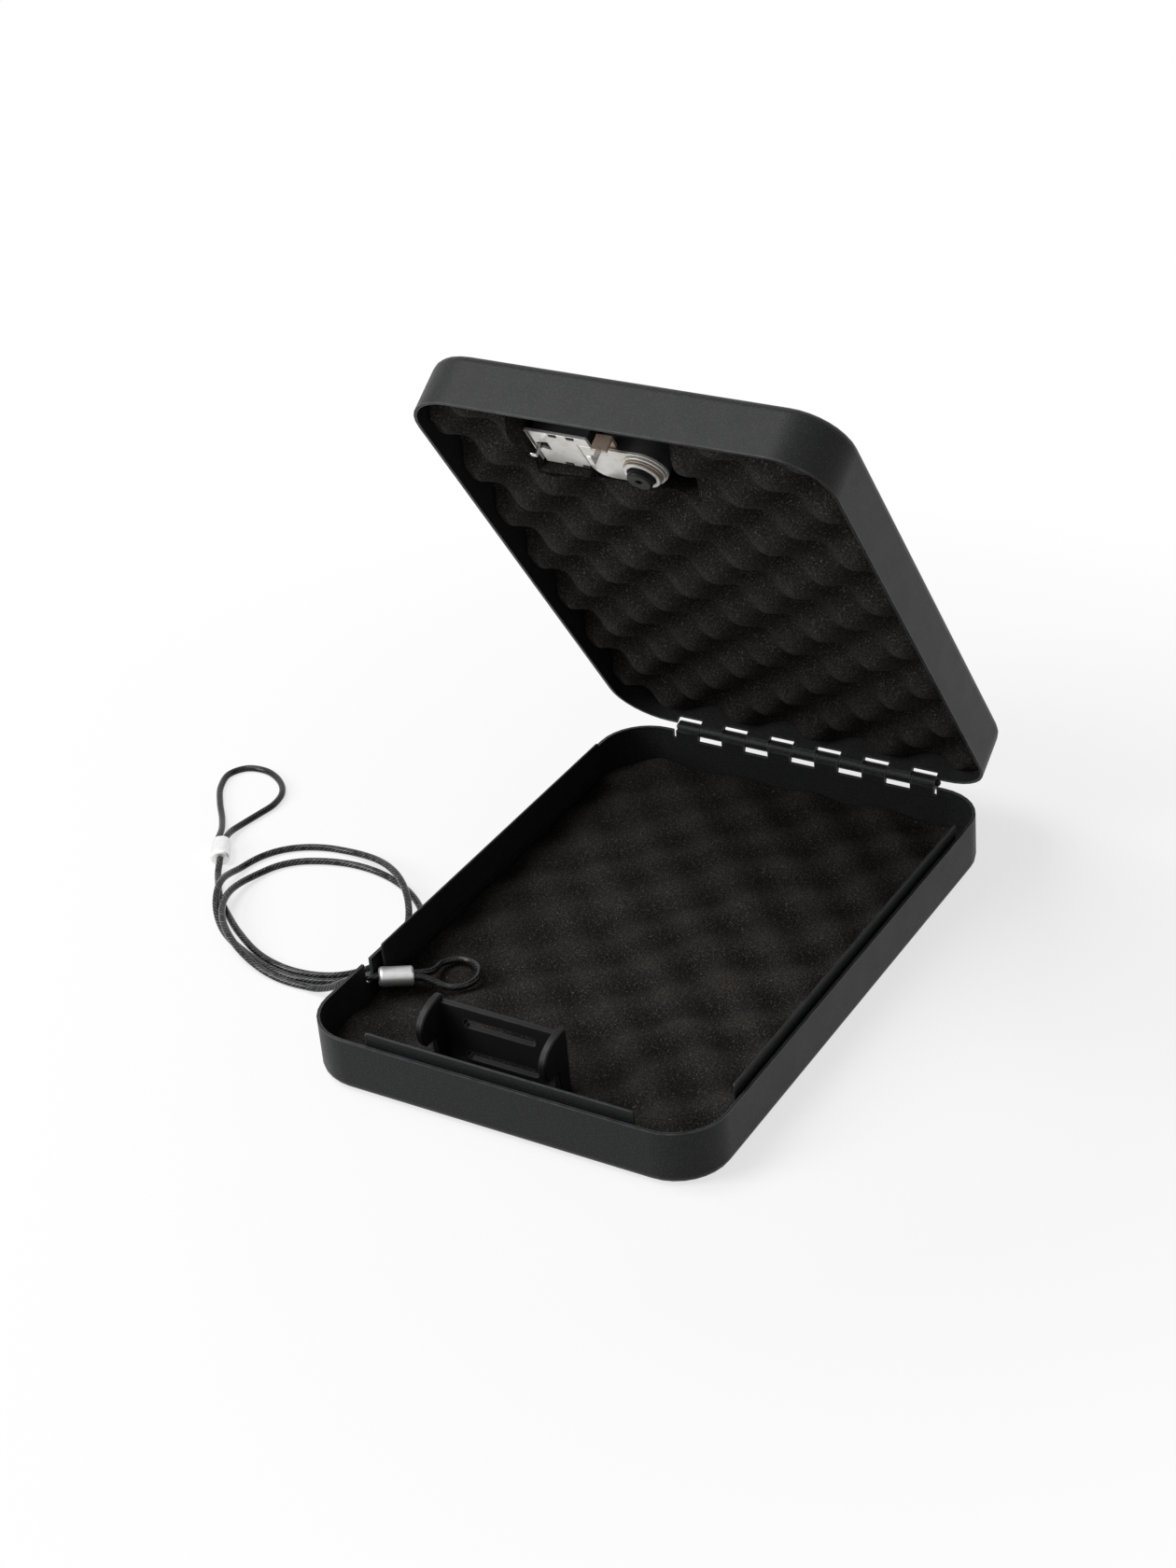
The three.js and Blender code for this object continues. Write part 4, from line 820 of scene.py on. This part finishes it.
def raise_foam(sheet, top, back, middle, rise):
    """Gives a flat foam sheet its waved face and a back, with the cut edges between them rounded.
    The attribute "crest" runs from -1 in a hollow to 1 on a bump."""
    crest = sheet.verts.layers.float["crest"]
    rim = [edge for edge in sheet.edges if edge.is_boundary]
    grown = bmesh.ops.extrude_edge_only(sheet, edges=rim)["geom"]
    outer = set(only(grown, BMVert))
    backs = [edge for edge in only(grown, BMEdge) if edge.is_boundary]
    for vert in sheet.verts:
        height = top(vert.co.x, vert.co.y)
        vert[crest] = (height - middle) / rise
        vert.co.z = back if vert in outer else height
    bmesh.ops.contextual_create(sheet, geom=backs)
    round_edges(sheet, rim, FOAM_EDGE)


# Operators


class CARSAFE_OT_camera(Operator):
    """Stand the camera where the photograph was taken"""

    bl_idname = "carsafe.camera"
    bl_label = "Camera"

    def execute(self, context):
        ahead = cos(CAMERA_PITCH)
        view = Vector((-sin(CAMERA_YAW) * ahead, cos(CAMERA_YAW) * ahead, sin(CAMERA_PITCH)))
        level = Vector((cos(CAMERA_YAW), sin(CAMERA_YAW), 0.0))
        upright = level.cross(view)
        right = cos(CAMERA_ROLL) * level + sin(CAMERA_ROLL) * upright
        up = cos(CAMERA_ROLL) * upright - sin(CAMERA_ROLL) * level
        data = bpy.data.cameras.new("Camera")
        data.sensor_width = CAMERA_SENSOR
        data.lens = CAMERA_LENS
        data.clip_start = CAMERA_NEAR
        camera = bpy.data.objects.new("Camera", data)
        context.scene.collection.objects.link(camera)
        turn = Matrix((right, up, -view)).transposed().to_4x4()
        camera.matrix_world = Matrix.Translation(CAMERA_PLACE) @ turn
        context.scene.camera = camera
        return {"FINISHED"}


def ferrule_point(ferrule, along, sideways):
    """A point at a distance along a ferrule's axis and to one side of it."""
    heading = Vector(ferrule["heading"]).normalized()
    wide = Vector((0, 0, 1)).cross(heading).normalized()
    return Vector(ferrule["start"]) + along * heading + sideways * wide


def coil_point(angle):
    """A point of the coil's middle line at an angle walked round it, in degrees."""
    offset = -COIL_INSET
    for start, over, outward in COIL_SHIFTS:
        offset += outward * eased((angle - start) / over)
    height = COIL["floor"]
    for middle, half, rise in COIL_HUMPS:
        away = abs(angle - middle) / half
        if away < 1:
            height += rise * cos(away * pi / 2) ** 2
    turn = radians(angle)
    y = (COIL["half"][1] + offset) * sin(turn)
    x = (COIL["half"][0] + offset) * cos(turn) + COIL["lean"] * y
    return Vector((COIL["centre"][0] + x, COIL["centre"][1] + y, height))


def through(points, spacing):
    """Evenly spaced points of the smooth curve through points, a centripetal one that makes no loops."""
    ends = [2 * points[0] - points[1], *points, 2 * points[-1] - points[-2]]
    fine = []
    for p0, p1, p2, p3 in zip(ends, ends[1:], ends[2:], ends[3:]):
        t1 = (p1 - p0).length ** 0.5
        t2 = t1 + (p2 - p1).length ** 0.5
        t3 = t2 + (p3 - p2).length ** 0.5
        steps = max(2, round((p2 - p1).length / (spacing / 4)))
        for i in range(steps):
            t = t1 + (t2 - t1) * i / steps
            a1 = p0.lerp(p1, t / t1)
            a2 = p1.lerp(p2, (t - t1) / (t2 - t1))
            a3 = p2.lerp(p3, (t - t2) / (t3 - t2))
            b1 = a1.lerp(a2, t / t2)
            b2 = a2.lerp(a3, (t - t1) / (t3 - t1))
            fine.append(b1.lerp(b2, (t - t1) / (t2 - t1)))
    fine.append(points[-1])
    even = [fine[0]]
    left = spacing
    for a, b in zip(fine, fine[1:]):
        step = (b - a).length
        while left <= step and step > 0:
            a = a.lerp(b, left / step)
            even.append(a)
            step = (b - a).length
            left = spacing
        left -= step
    even[-1] = fine[-1]
    return even


def cable_route():
    """The whole cable's middle line in metres, from its cut end in the inner ferrule to the other's."""
    straight = 2 * CABLE_RADIUS
    face = FERRULE_LENGTH
    bend = STRAND_INSIDE + STRAND_BEND
    turns = range(COIL_TURN["end"], COIL_TURN["start"] - 1, -COIL_TURN["step"])
    inner = partial(ferrule_point, INNER_FERRULE)
    outer = partial(ferrule_point, OUTER_FERRULE)
    points = [
        inner(face - STRAND_INSIDE, -STRAND_OFFSET),
        inner(face, -STRAND_OFFSET),
        inner(face + straight, -STRAND_OFFSET),
        *map(Vector, INNER_EYE),
        inner(face + straight, STRAND_OFFSET),
        inner(face, STRAND_OFFSET),
        inner(face - bend, STRAND_OFFSET),
        inner(0, 0),
        inner(-straight, 0),
        *map(Vector, reversed(LEAD)),
        *map(coil_point, turns),
        *map(Vector, reversed(TAIL)),
        outer(face + straight, 0),
        outer(face, 0),
        outer(bend, STRAND_OFFSET),
        outer(0, STRAND_OFFSET),
        outer(-straight, STRAND_OFFSET),
        *map(Vector, OUTER_EYE),
        outer(-straight, -STRAND_OFFSET),
        outer(0, -STRAND_OFFSET),
        outer(STRAND_INSIDE, -STRAND_OFFSET),
    ]
    return [point * MM for point in through(points, ROUTE_STEP)]


def grown_from(vert, fresh):
    """The new vertex that an extrusion grew from this one."""
    ends = (edge.other_vert(vert) for edge in vert.link_edges)
    return next(end for end in ends if end in fresh)


def tube(route, radius, sides):
    """A round tube along a route, with a UV map that holds the length along it and the share round it."""
    shape = bmesh.new()
    layer = shape.loops.layers.uv.new("Lay")
    ring = bmesh.ops.create_circle(shape, segments=sides, radius=radius)["verts"]
    heading = (route[1] - route[0]).normalized()
    turn = heading.to_track_quat("Z", "Y")
    offsets = [turn @ vert.co for vert in ring]
    for vert, offset in zip(ring, offsets):
        vert.co = route[0] + offset
    first = ring
    length = 0.0
    for i in range(1, len(route)):
        onward = route[min(i + 1, len(route) - 1)] - route[i - 1]
        swing = heading.rotation_difference(onward.normalized())
        heading = onward.normalized()
        offsets = [swing @ offset for offset in offsets]
        edges = [shape.edges.get((ring[k], ring[(k + 1) % sides])) for k in range(sides)]
        grown = bmesh.ops.extrude_edge_only(shape, edges=edges)["geom"]
        fresh = set(only(grown, BMVert))
        following = [grown_from(vert, fresh) for vert in ring]
        for vert, offset in zip(following, offsets):
            vert.co = route[i] + offset
        step = (route[i] - route[i - 1]).length
        place = {vert: (length, k) for k, vert in enumerate(ring)}
        place.update({vert: (length + step, k) for k, vert in enumerate(following)})
        for face in only(grown, BMFace):
            shares = [place[loop.vert][1] for loop in face.loops]
            wraps = max(shares) - min(shares) > 1
            for loop, share in zip(face.loops, shares):
                share = sides if wraps and share == 0 else share
                loop[layer].uv = (place[loop.vert][0], share / sides)
        ring = following
        length += step
    for end in (first, ring):
        shape.faces.new(end)
    return shape


class CARSAFE_OT_cable(Operator):
    """Lay the covered cable through both ferrules and finish the ferrules"""

    bl_idname = "carsafe.cable"
    bl_label = "Cable"

    def execute(self, context):
        settings = context.scene.carsafe_cable
        route = cable_route()
        covered = tube(route, CABLE_RADIUS * MM, settings.sides)
        cable = piece("cable", covered, cable_material(settings), "tray")
        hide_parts("cable_eye_inner", "cable_lead", "cable_coil", "cable_tail", "cable_eye_outer")
        for end, ferrule in (("inner", INNER_FERRULE), ("outer", OUTER_FERRULE)):
            # One aluminium in two lightnesses: painted light on the outer ferrule, painted shade on the inner
            # one.
            colour = [ferrule["light"] * share for share in FERRULE_TINT]
            stain = (ferrule["light"] * FERRULE_STAIN,) * 3
            finish = brushed(
                f"Aluminium {end}", colour, stain, roughness=0.46, line=0.18 * MM, depth=0.03 * MM,
                turn=-atan2(ferrule["heading"][1], ferrule["heading"][0]),
            )
            dress([f"ferrule_{end}"], finish, FERRULE_ROUND)
        return {"FINISHED"}


class CARSAFE_OT_lid_foam(Operator):
    """Cut the egg-crate foam of the lid, with its pocket for the lock"""

    bl_idname = "carsafe.lid_foam"
    bl_label = "Lid foam"

    def execute(self, context):
        settings = context.scene.carsafe_foam

        def in_pocket(point):
            back = POCKET_BACK["left" if point.x < POCKET["step"] else "right"]
            return POCKET["left"] < point.x < POCKET["right"] and point.y < back

        def top(x, y):
            wave = settings.lid_wave * wave_at(x, y)
            height = settings.lid_middle + wave + wandering(x, y, LID_WANDER)
            depth = inside_edge(x, y) - LIP_SHELF["width"] + FOAM_INSET
            shelf = LIP_SHELF["height"] - LIP_SHELF["drop"] * eased(depth / LIP_SHELF["over"])
            return max(height, shelf)

        block = foam_sheet(POCKET.values(), POCKET_BACK.values(), in_pocket)
        raise_foam(block, top, LID_FOAM_BACK, settings.lid_middle, -settings.lid_wave)
        bmesh.ops.transform(block, matrix=lid_place(), verts=block.verts)
        foam = piece("lid_egg_crate_foam", block, foam_material(settings), "lid")
        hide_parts("lid_foam")
        return {"FINISHED"}


class CARSAFE_OT_tray_foam(Operator):
    """Cut the foam mat of the tray, with its cut-out for the catch"""

    bl_idname = "carsafe.tray_foam"
    bl_label = "Tray foam"

    def execute(self, context):
        settings = context.scene.carsafe_foam

        def under_catch(point):
            in_width = CATCH_CUT_X[0] < point.x < CATCH_CUT_X[1]
            return in_width and CATCH_CUT_Y[0] < point.y < CATCH_CUT_Y[1]

        def top(x, y):
            bend = wandering(x, y, TRAY_BEND)
            rise = settings.tray_wave * (1 + TRAY_SLANT * x / FOAM_HALF[0])
            wave = rise * wave_at(x + bend, y - bend)
            return settings.tray_middle - wave + wandering(x, y, TRAY_WANDER)

        block = foam_sheet(CATCH_CUT_X, CATCH_CUT_Y, under_catch)
        raise_foam(block, top, TRAY_FOAM_FOOT, settings.tray_middle, settings.tray_wave)
        foam = piece("tray_foam_mat", block, foam_material(settings), "tray")
        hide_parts("tray_foam")
        return {"FINISHED"}


class CARSAFE_OT_case(Operator):
    """Powder-coat the shells, the lips and the hinge"""

    bl_idname = "carsafe.case"
    bl_label = "Steel case"

    def execute(self, context):
        settings = context.scene.carsafe_case
        # Along its outer edges the paint is six times lighter: partly rubbed paint, partly a painted
        # highlight on the rims.
        paint = grained(
            "Black powder coat", settings.paint, settings.paint_grain, roughness=0.4, depth=0.12 * MM,
            fleck=3.6, amount=0.6, brightening=6.0, IOR=1.25, Specular_IOR_Level=0.38,
        )
        dress(("tray_shell", "lid_shell", "front_lip", "right_lip", "left_lip"), paint, settings.sheet_edge)
        dress(("hinge_pin",), paint, PIN_ROUND)
        return {"FINISHED"}


class CARSAFE_OT_mouldings(Operator):
    """Finish the moulded catch, bezel, button and number wheels"""

    bl_idname = "carsafe.mouldings"
    bl_label = "Moulded parts"

    def execute(self, context):
        settings = context.scene.carsafe_case
        # Along its outer edges the plastic is four times lighter: partly rubbed, partly a painted highlight.
        plastic = grained(
            "Moulded black plastic", settings.plastic, 0.35 * MM, roughness=0.42, depth=0.02 * MM, fleck=1.6,
            amount=0.25, spread=0.1, brightening=4.0, IOR=1.3, Specular_IOR_Level=0.4,
        )
        dress(("latch_catch", "lock_bezel"), plastic, settings.moulded_edge)
        dress(("button_cap", "button_boss"), plastic, BUTTON_ROUND)
        dress(("number_wheel_1", "number_wheel_2", "number_wheel_3"), plastic, WHEEL_ROUND)
        return {"FINISHED"}


class CARSAFE_OT_lock(Operator):
    """Finish the lock's plates, case, hook, lever, screws and springs"""

    bl_idname = "carsafe.lock"
    bl_label = "Lock"

    def execute(self, context):
        settings = context.scene.carsafe_lock
        zinc = brushed(
            "Bright zinc", settings.zinc, ZINC_STAIN, roughness=0.36, line=0.25 * MM, depth=0.012 * MM,
            metallic=0.5,
        )
        steel = brushed(
            "Bright steel", settings.steel, STEEL_STAIN, roughness=0.18, line=0.2 * MM, depth=0.01 * MM,
        )
        bronze = brushed(
            "Passivated steel", settings.bronze, WASHER_STAIN, roughness=0.42, line=0.2 * MM,
            depth=0.012 * MM, metallic=0.5,
        )
        cast = grained(
            "Cast lock body", CAST_COLOUR, 0.5 * MM, roughness=0.5, depth=0.04 * MM, Metallic=0.6,
        )
        screws = [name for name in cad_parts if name.startswith("bezel_screw")]
        dress(("lock_plate", "button_plate", "button_collar", "button_nut"), zinc, PLATE_ROUND)
        dress(("catch_rivet_1", "catch_rivet_2", "reset_lever"), steel, PLATE_ROUND)
        dress([*screws, "wheel_axle", "wheel_detent"], steel, SCREW_ROUND)
        dress(("button_washer",), bronze, HOOK_ROUND)
        dress(("latch_hook",), hook_material(settings), HOOK_ROUND)
        dress(("lock_case",), cast, BODY_ROUND)
        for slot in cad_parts["button_spring"].material_slots:
            slot.material = steel
        folded = piece("lock_plate_edge", self.plate_edge(), zinc, "lid", smooth=False)
        return {"FINISHED"}

    def plate_edge(self):
        """The lock plate's edge: an angle in plan, extruded to the sheet's thickness."""
        outline = (
            (PLATE_LEFT, PLATE_FRONT),
            (PLATE_RIGHT, PLATE_FRONT),
            (PLATE_RIGHT, PLATE_FRONT + PLATE_RIM),
            (PLATE_LEFT + PLATE_RIM, PLATE_FRONT + PLATE_RIM),
            (PLATE_LEFT + PLATE_RIM, PLATE_BACK),
            (PLATE_LEFT, PLATE_BACK),
        )
        edge = bmesh.new()
        flat = edge.faces.new([edge.verts.new((x, y, PLATE_FACE)) for x, y in outline])
        grown = bmesh.ops.extrude_face_region(edge, geom=[flat])["geom"]
        bmesh.ops.translate(edge, vec=(0, 0, PLATE_SHEET), verts=only(grown, BMVert))
        round_edges(edge, edge.edges[:], PLATE_RIM_ROUND)
        bmesh.ops.transform(edge, matrix=lid_place(), verts=edge.verts)
        return edge


def number_on_wheel(context, number, height):
    """A mesh of one number, bent to the rim of a wheel that turns about X at the origin."""
    text = bpy.data.curves.new("digit", "FONT")
    text.body = str(number)
    text.size = height / DIGIT_SHARE
    text.align_x = "CENTER"
    text.extrude = DIGIT_SHEET
    lettering = bpy.data.objects.new("digit", text)
    context.scene.collection.objects.link(lettering)
    context.view_layer.update()
    mesh = bpy.data.meshes.new_from_object(lettering)
    bpy.data.objects.remove(lettering)
    digit = bmesh.new()
    digit.from_mesh(mesh)
    bmesh.ops.translate(digit, vec=(0, -height / 2, 0), verts=digit.verts)
    for line in DIGIT_CUTS:
        bmesh.ops.bisect_plane(
            digit, geom=digit.verts[:] + digit.edges[:] + digit.faces[:], dist=SAME_POINT,
            plane_co=(0, line * WHEEL_SLOPE["run"] / 2, 0), plane_no=(0, 1, 0),
        )
    for vert in digit.verts:
        away = min(abs(vert.co.y), WHEEL_SLOPE["run"])
        vert.co.z += WHEEL_HOLLOW + away * WHEEL_SLOPE["rise"] / WHEEL_SLOPE["run"]
    turn = Matrix.Rotation(-number * 2 * pi / WHEEL_DIGITS, 4, "X")
    bmesh.ops.transform(digit, matrix=turn, verts=digit.verts)
    digit.to_mesh(mesh)
    digit.free()
    return mesh


class CARSAFE_OT_numbers(Operator):
    """Paint the digits 0 to 9 on each number wheel"""

    bl_idname = "carsafe.numbers"
    bl_label = "Numbers"

    def execute(self, context):
        settings = context.scene.carsafe_lock
        paint = grained(
            "Digit paint", settings.digit, 0.3 * MM, roughness=0.5, depth=0.01 * MM, fleck=0.85, amount=0.4,
        )
        for index, x in enumerate(WHEEL_X, start=1):
            digits = bmesh.new()
            for number in range(WHEEL_DIGITS):
                digit = number_on_wheel(context, number, settings.digit_height)
                digits.from_mesh(digit)
                bpy.data.meshes.remove(digit)
            place = lid_place() @ Matrix.Translation((x, WHEEL_Y, WHEEL_Z))
            bmesh.ops.transform(digits, matrix=place, verts=digits.verts)
            wheel = piece(f"wheel_{index}_digits", digits, paint, f"wheel_{index}", smooth=False)
        return {"FINISHED"}


def shows_white(tree):
    """A node that puts out 1 for a ray from the camera, a reflection or a transmission, and else 0."""
    path = node(tree, "ShaderNodeLightPath")
    direct = node(tree, "ShaderNodeMath", operation="MAXIMUM")
    every = node(tree, "ShaderNodeMath", operation="MAXIMUM")
    wire(
        tree,
        (path, "Is Camera Ray", direct, 0),
        (path, "Is Glossy Ray", direct, 1),
        (direct, 0, every, 0),
        (path, "Is Transmission Ray", every, 1),
    )
    return every


def floor_material(settings):
    """A matt floor that looks white, but for a share of its shadow near the case."""
    material = bpy.data.materials.new("Studio floor")
    material.use_nodes = True
    tree = material.node_tree
    tree.nodes.clear()
    out = node(tree, "ShaderNodeOutputMaterial")
    matt = node(tree, "ShaderNodeBsdfDiffuse", {"Color": rgba(settings.floor)})
    white = node(tree, "ShaderNodeEmission", {"Color": (1, 1, 1, 1), "Strength": 1.0})
    place = node(tree, "ShaderNodeTexCoord")
    away = node(tree, "ShaderNodeVectorMath", operation="LENGTH")
    reach = {"From Min": settings.shadow_reach / 2, "From Max": settings.shadow_reach}
    fade = node(tree, "ShaderNodeMapRange", {**reach, "To Min": 1 - settings.shadow})
    share = node(tree, "ShaderNodeMath", operation="MULTIPLY")
    mix = node(tree, "ShaderNodeMixShader")
    wire(
        tree,
        (place, "Object", away, 0),
        (away, "Value", fade, "Value"),
        (shows_white(tree), 0, share, 0),
        (fade, "Result", share, 1),
        (share, 0, mix, "Fac"),
        (matt, "BSDF", mix, 1),
        (white, "Emission", mix, 2),
        (mix, "Shader", out, "Surface"),
    )
    return material


def studio_world(settings):
    """A soft grey room that looks white to the camera and in reflections."""
    world = bpy.data.worlds.new("Studio")
    world.use_nodes = True
    tree = world.node_tree
    tree.nodes.clear()
    out = node(tree, "ShaderNodeOutputWorld")
    strength = node(tree, "ShaderNodeMapRange", {"To Min": settings.room})
    back = node(tree, "ShaderNodeBackground", {"Color": (1, 1, 1, 1)})
    wire(
        tree,
        (shows_white(tree), 0, strength, "Value"),
        (strength, "Result", back, "Strength"),
        (back, "Background", out, "Surface"),
    )
    return world


def soft_light(context, name, power, stand):
    """A square area light at its stand's place, turned to its aim."""
    data = bpy.data.lights.new(name, "AREA")
    data.energy = power
    data.shape = "RECTANGLE"
    data.size = LIGHT_SIZE
    data.size_y = LIGHT_SIZE
    light = bpy.data.objects.new(name, data)
    context.scene.collection.objects.link(light)
    light.location = stand["place"]
    looks = Vector(stand["aim"]) - Vector(stand["place"])
    light.rotation_euler = looks.to_track_quat("-Z", "Y").to_euler()


class CARSAFE_OT_stage(Operator):
    """Set the white floor, the room and the soft lights"""

    bl_idname = "carsafe.stage"
    bl_label = "Stage"

    def execute(self, context):
        settings = context.scene.carsafe_stage
        ground = bmesh.new()
        bmesh.ops.create_grid(ground, x_segments=1, y_segments=1, size=FLOOR_REACH)
        mesh = bpy.data.meshes.new("floor")
        ground.to_mesh(mesh)
        ground.free()
        mesh.materials.append(floor_material(settings))
        floor = bpy.data.objects.new("floor", mesh)
        context.scene.collection.objects.link(floor)
        context.scene.world = studio_world(settings)
        soft_light(context, "Top light", settings.top_light, TOP_LIGHT)
        soft_light(context, "Front light", settings.front_light, FRONT_LIGHT)
        context.scene.view_settings.view_transform = "Standard"
        return {"FINISHED"}


OPERATORS = (
    CARSAFE_OT_camera,
    CARSAFE_OT_cable,
    CARSAFE_OT_lid_foam,
    CARSAFE_OT_tray_foam,
    CARSAFE_OT_case,
    CARSAFE_OT_mouldings,
    CARSAFE_OT_lock,
    CARSAFE_OT_numbers,
    CARSAFE_OT_stage,
)
SETTINGS = (
    ("carsafe_case", CaseSettings),
    ("carsafe_foam", FoamSettings),
    ("carsafe_cable", CableSettings),
    ("carsafe_lock", LockSettings),
    ("carsafe_stage", StageSettings),
)


class CARSAFE_PT_panel(Panel):
    """The operators in their order, and the settings that they read"""

    bl_idname = "CARSAFE_PT_panel"
    bl_label = "Car Safe"
    bl_space_type = "VIEW_3D"
    bl_region_type = "UI"
    bl_category = "Car Safe"

    def draw(self, context):
        for operator in OPERATORS:
            self.layout.operator(operator.bl_idname)
        for name, settings in SETTINGS:
            box = self.layout.box()
            for label in settings.__annotations__:
                box.prop(getattr(context.scene, name), label)


CLASSES = (*(settings for _, settings in SETTINGS), *OPERATORS, CARSAFE_PT_panel)


def register():
    for made in CLASSES:
        bpy.utils.register_class(made)
    for name, settings in SETTINGS:
        setattr(bpy.types.Scene, name, PointerProperty(type=settings))


def unregister():
    for name, _ in SETTINGS:
        delattr(bpy.types.Scene, name)
    for made in reversed(CLASSES):
        bpy.utils.unregister_class(made)


def main():
    register()
    for operator in OPERATORS:
        group, name = operator.bl_idname.split(".")
        getattr(getattr(bpy.ops, group), name)()


if __name__ == "__main__":
    main()
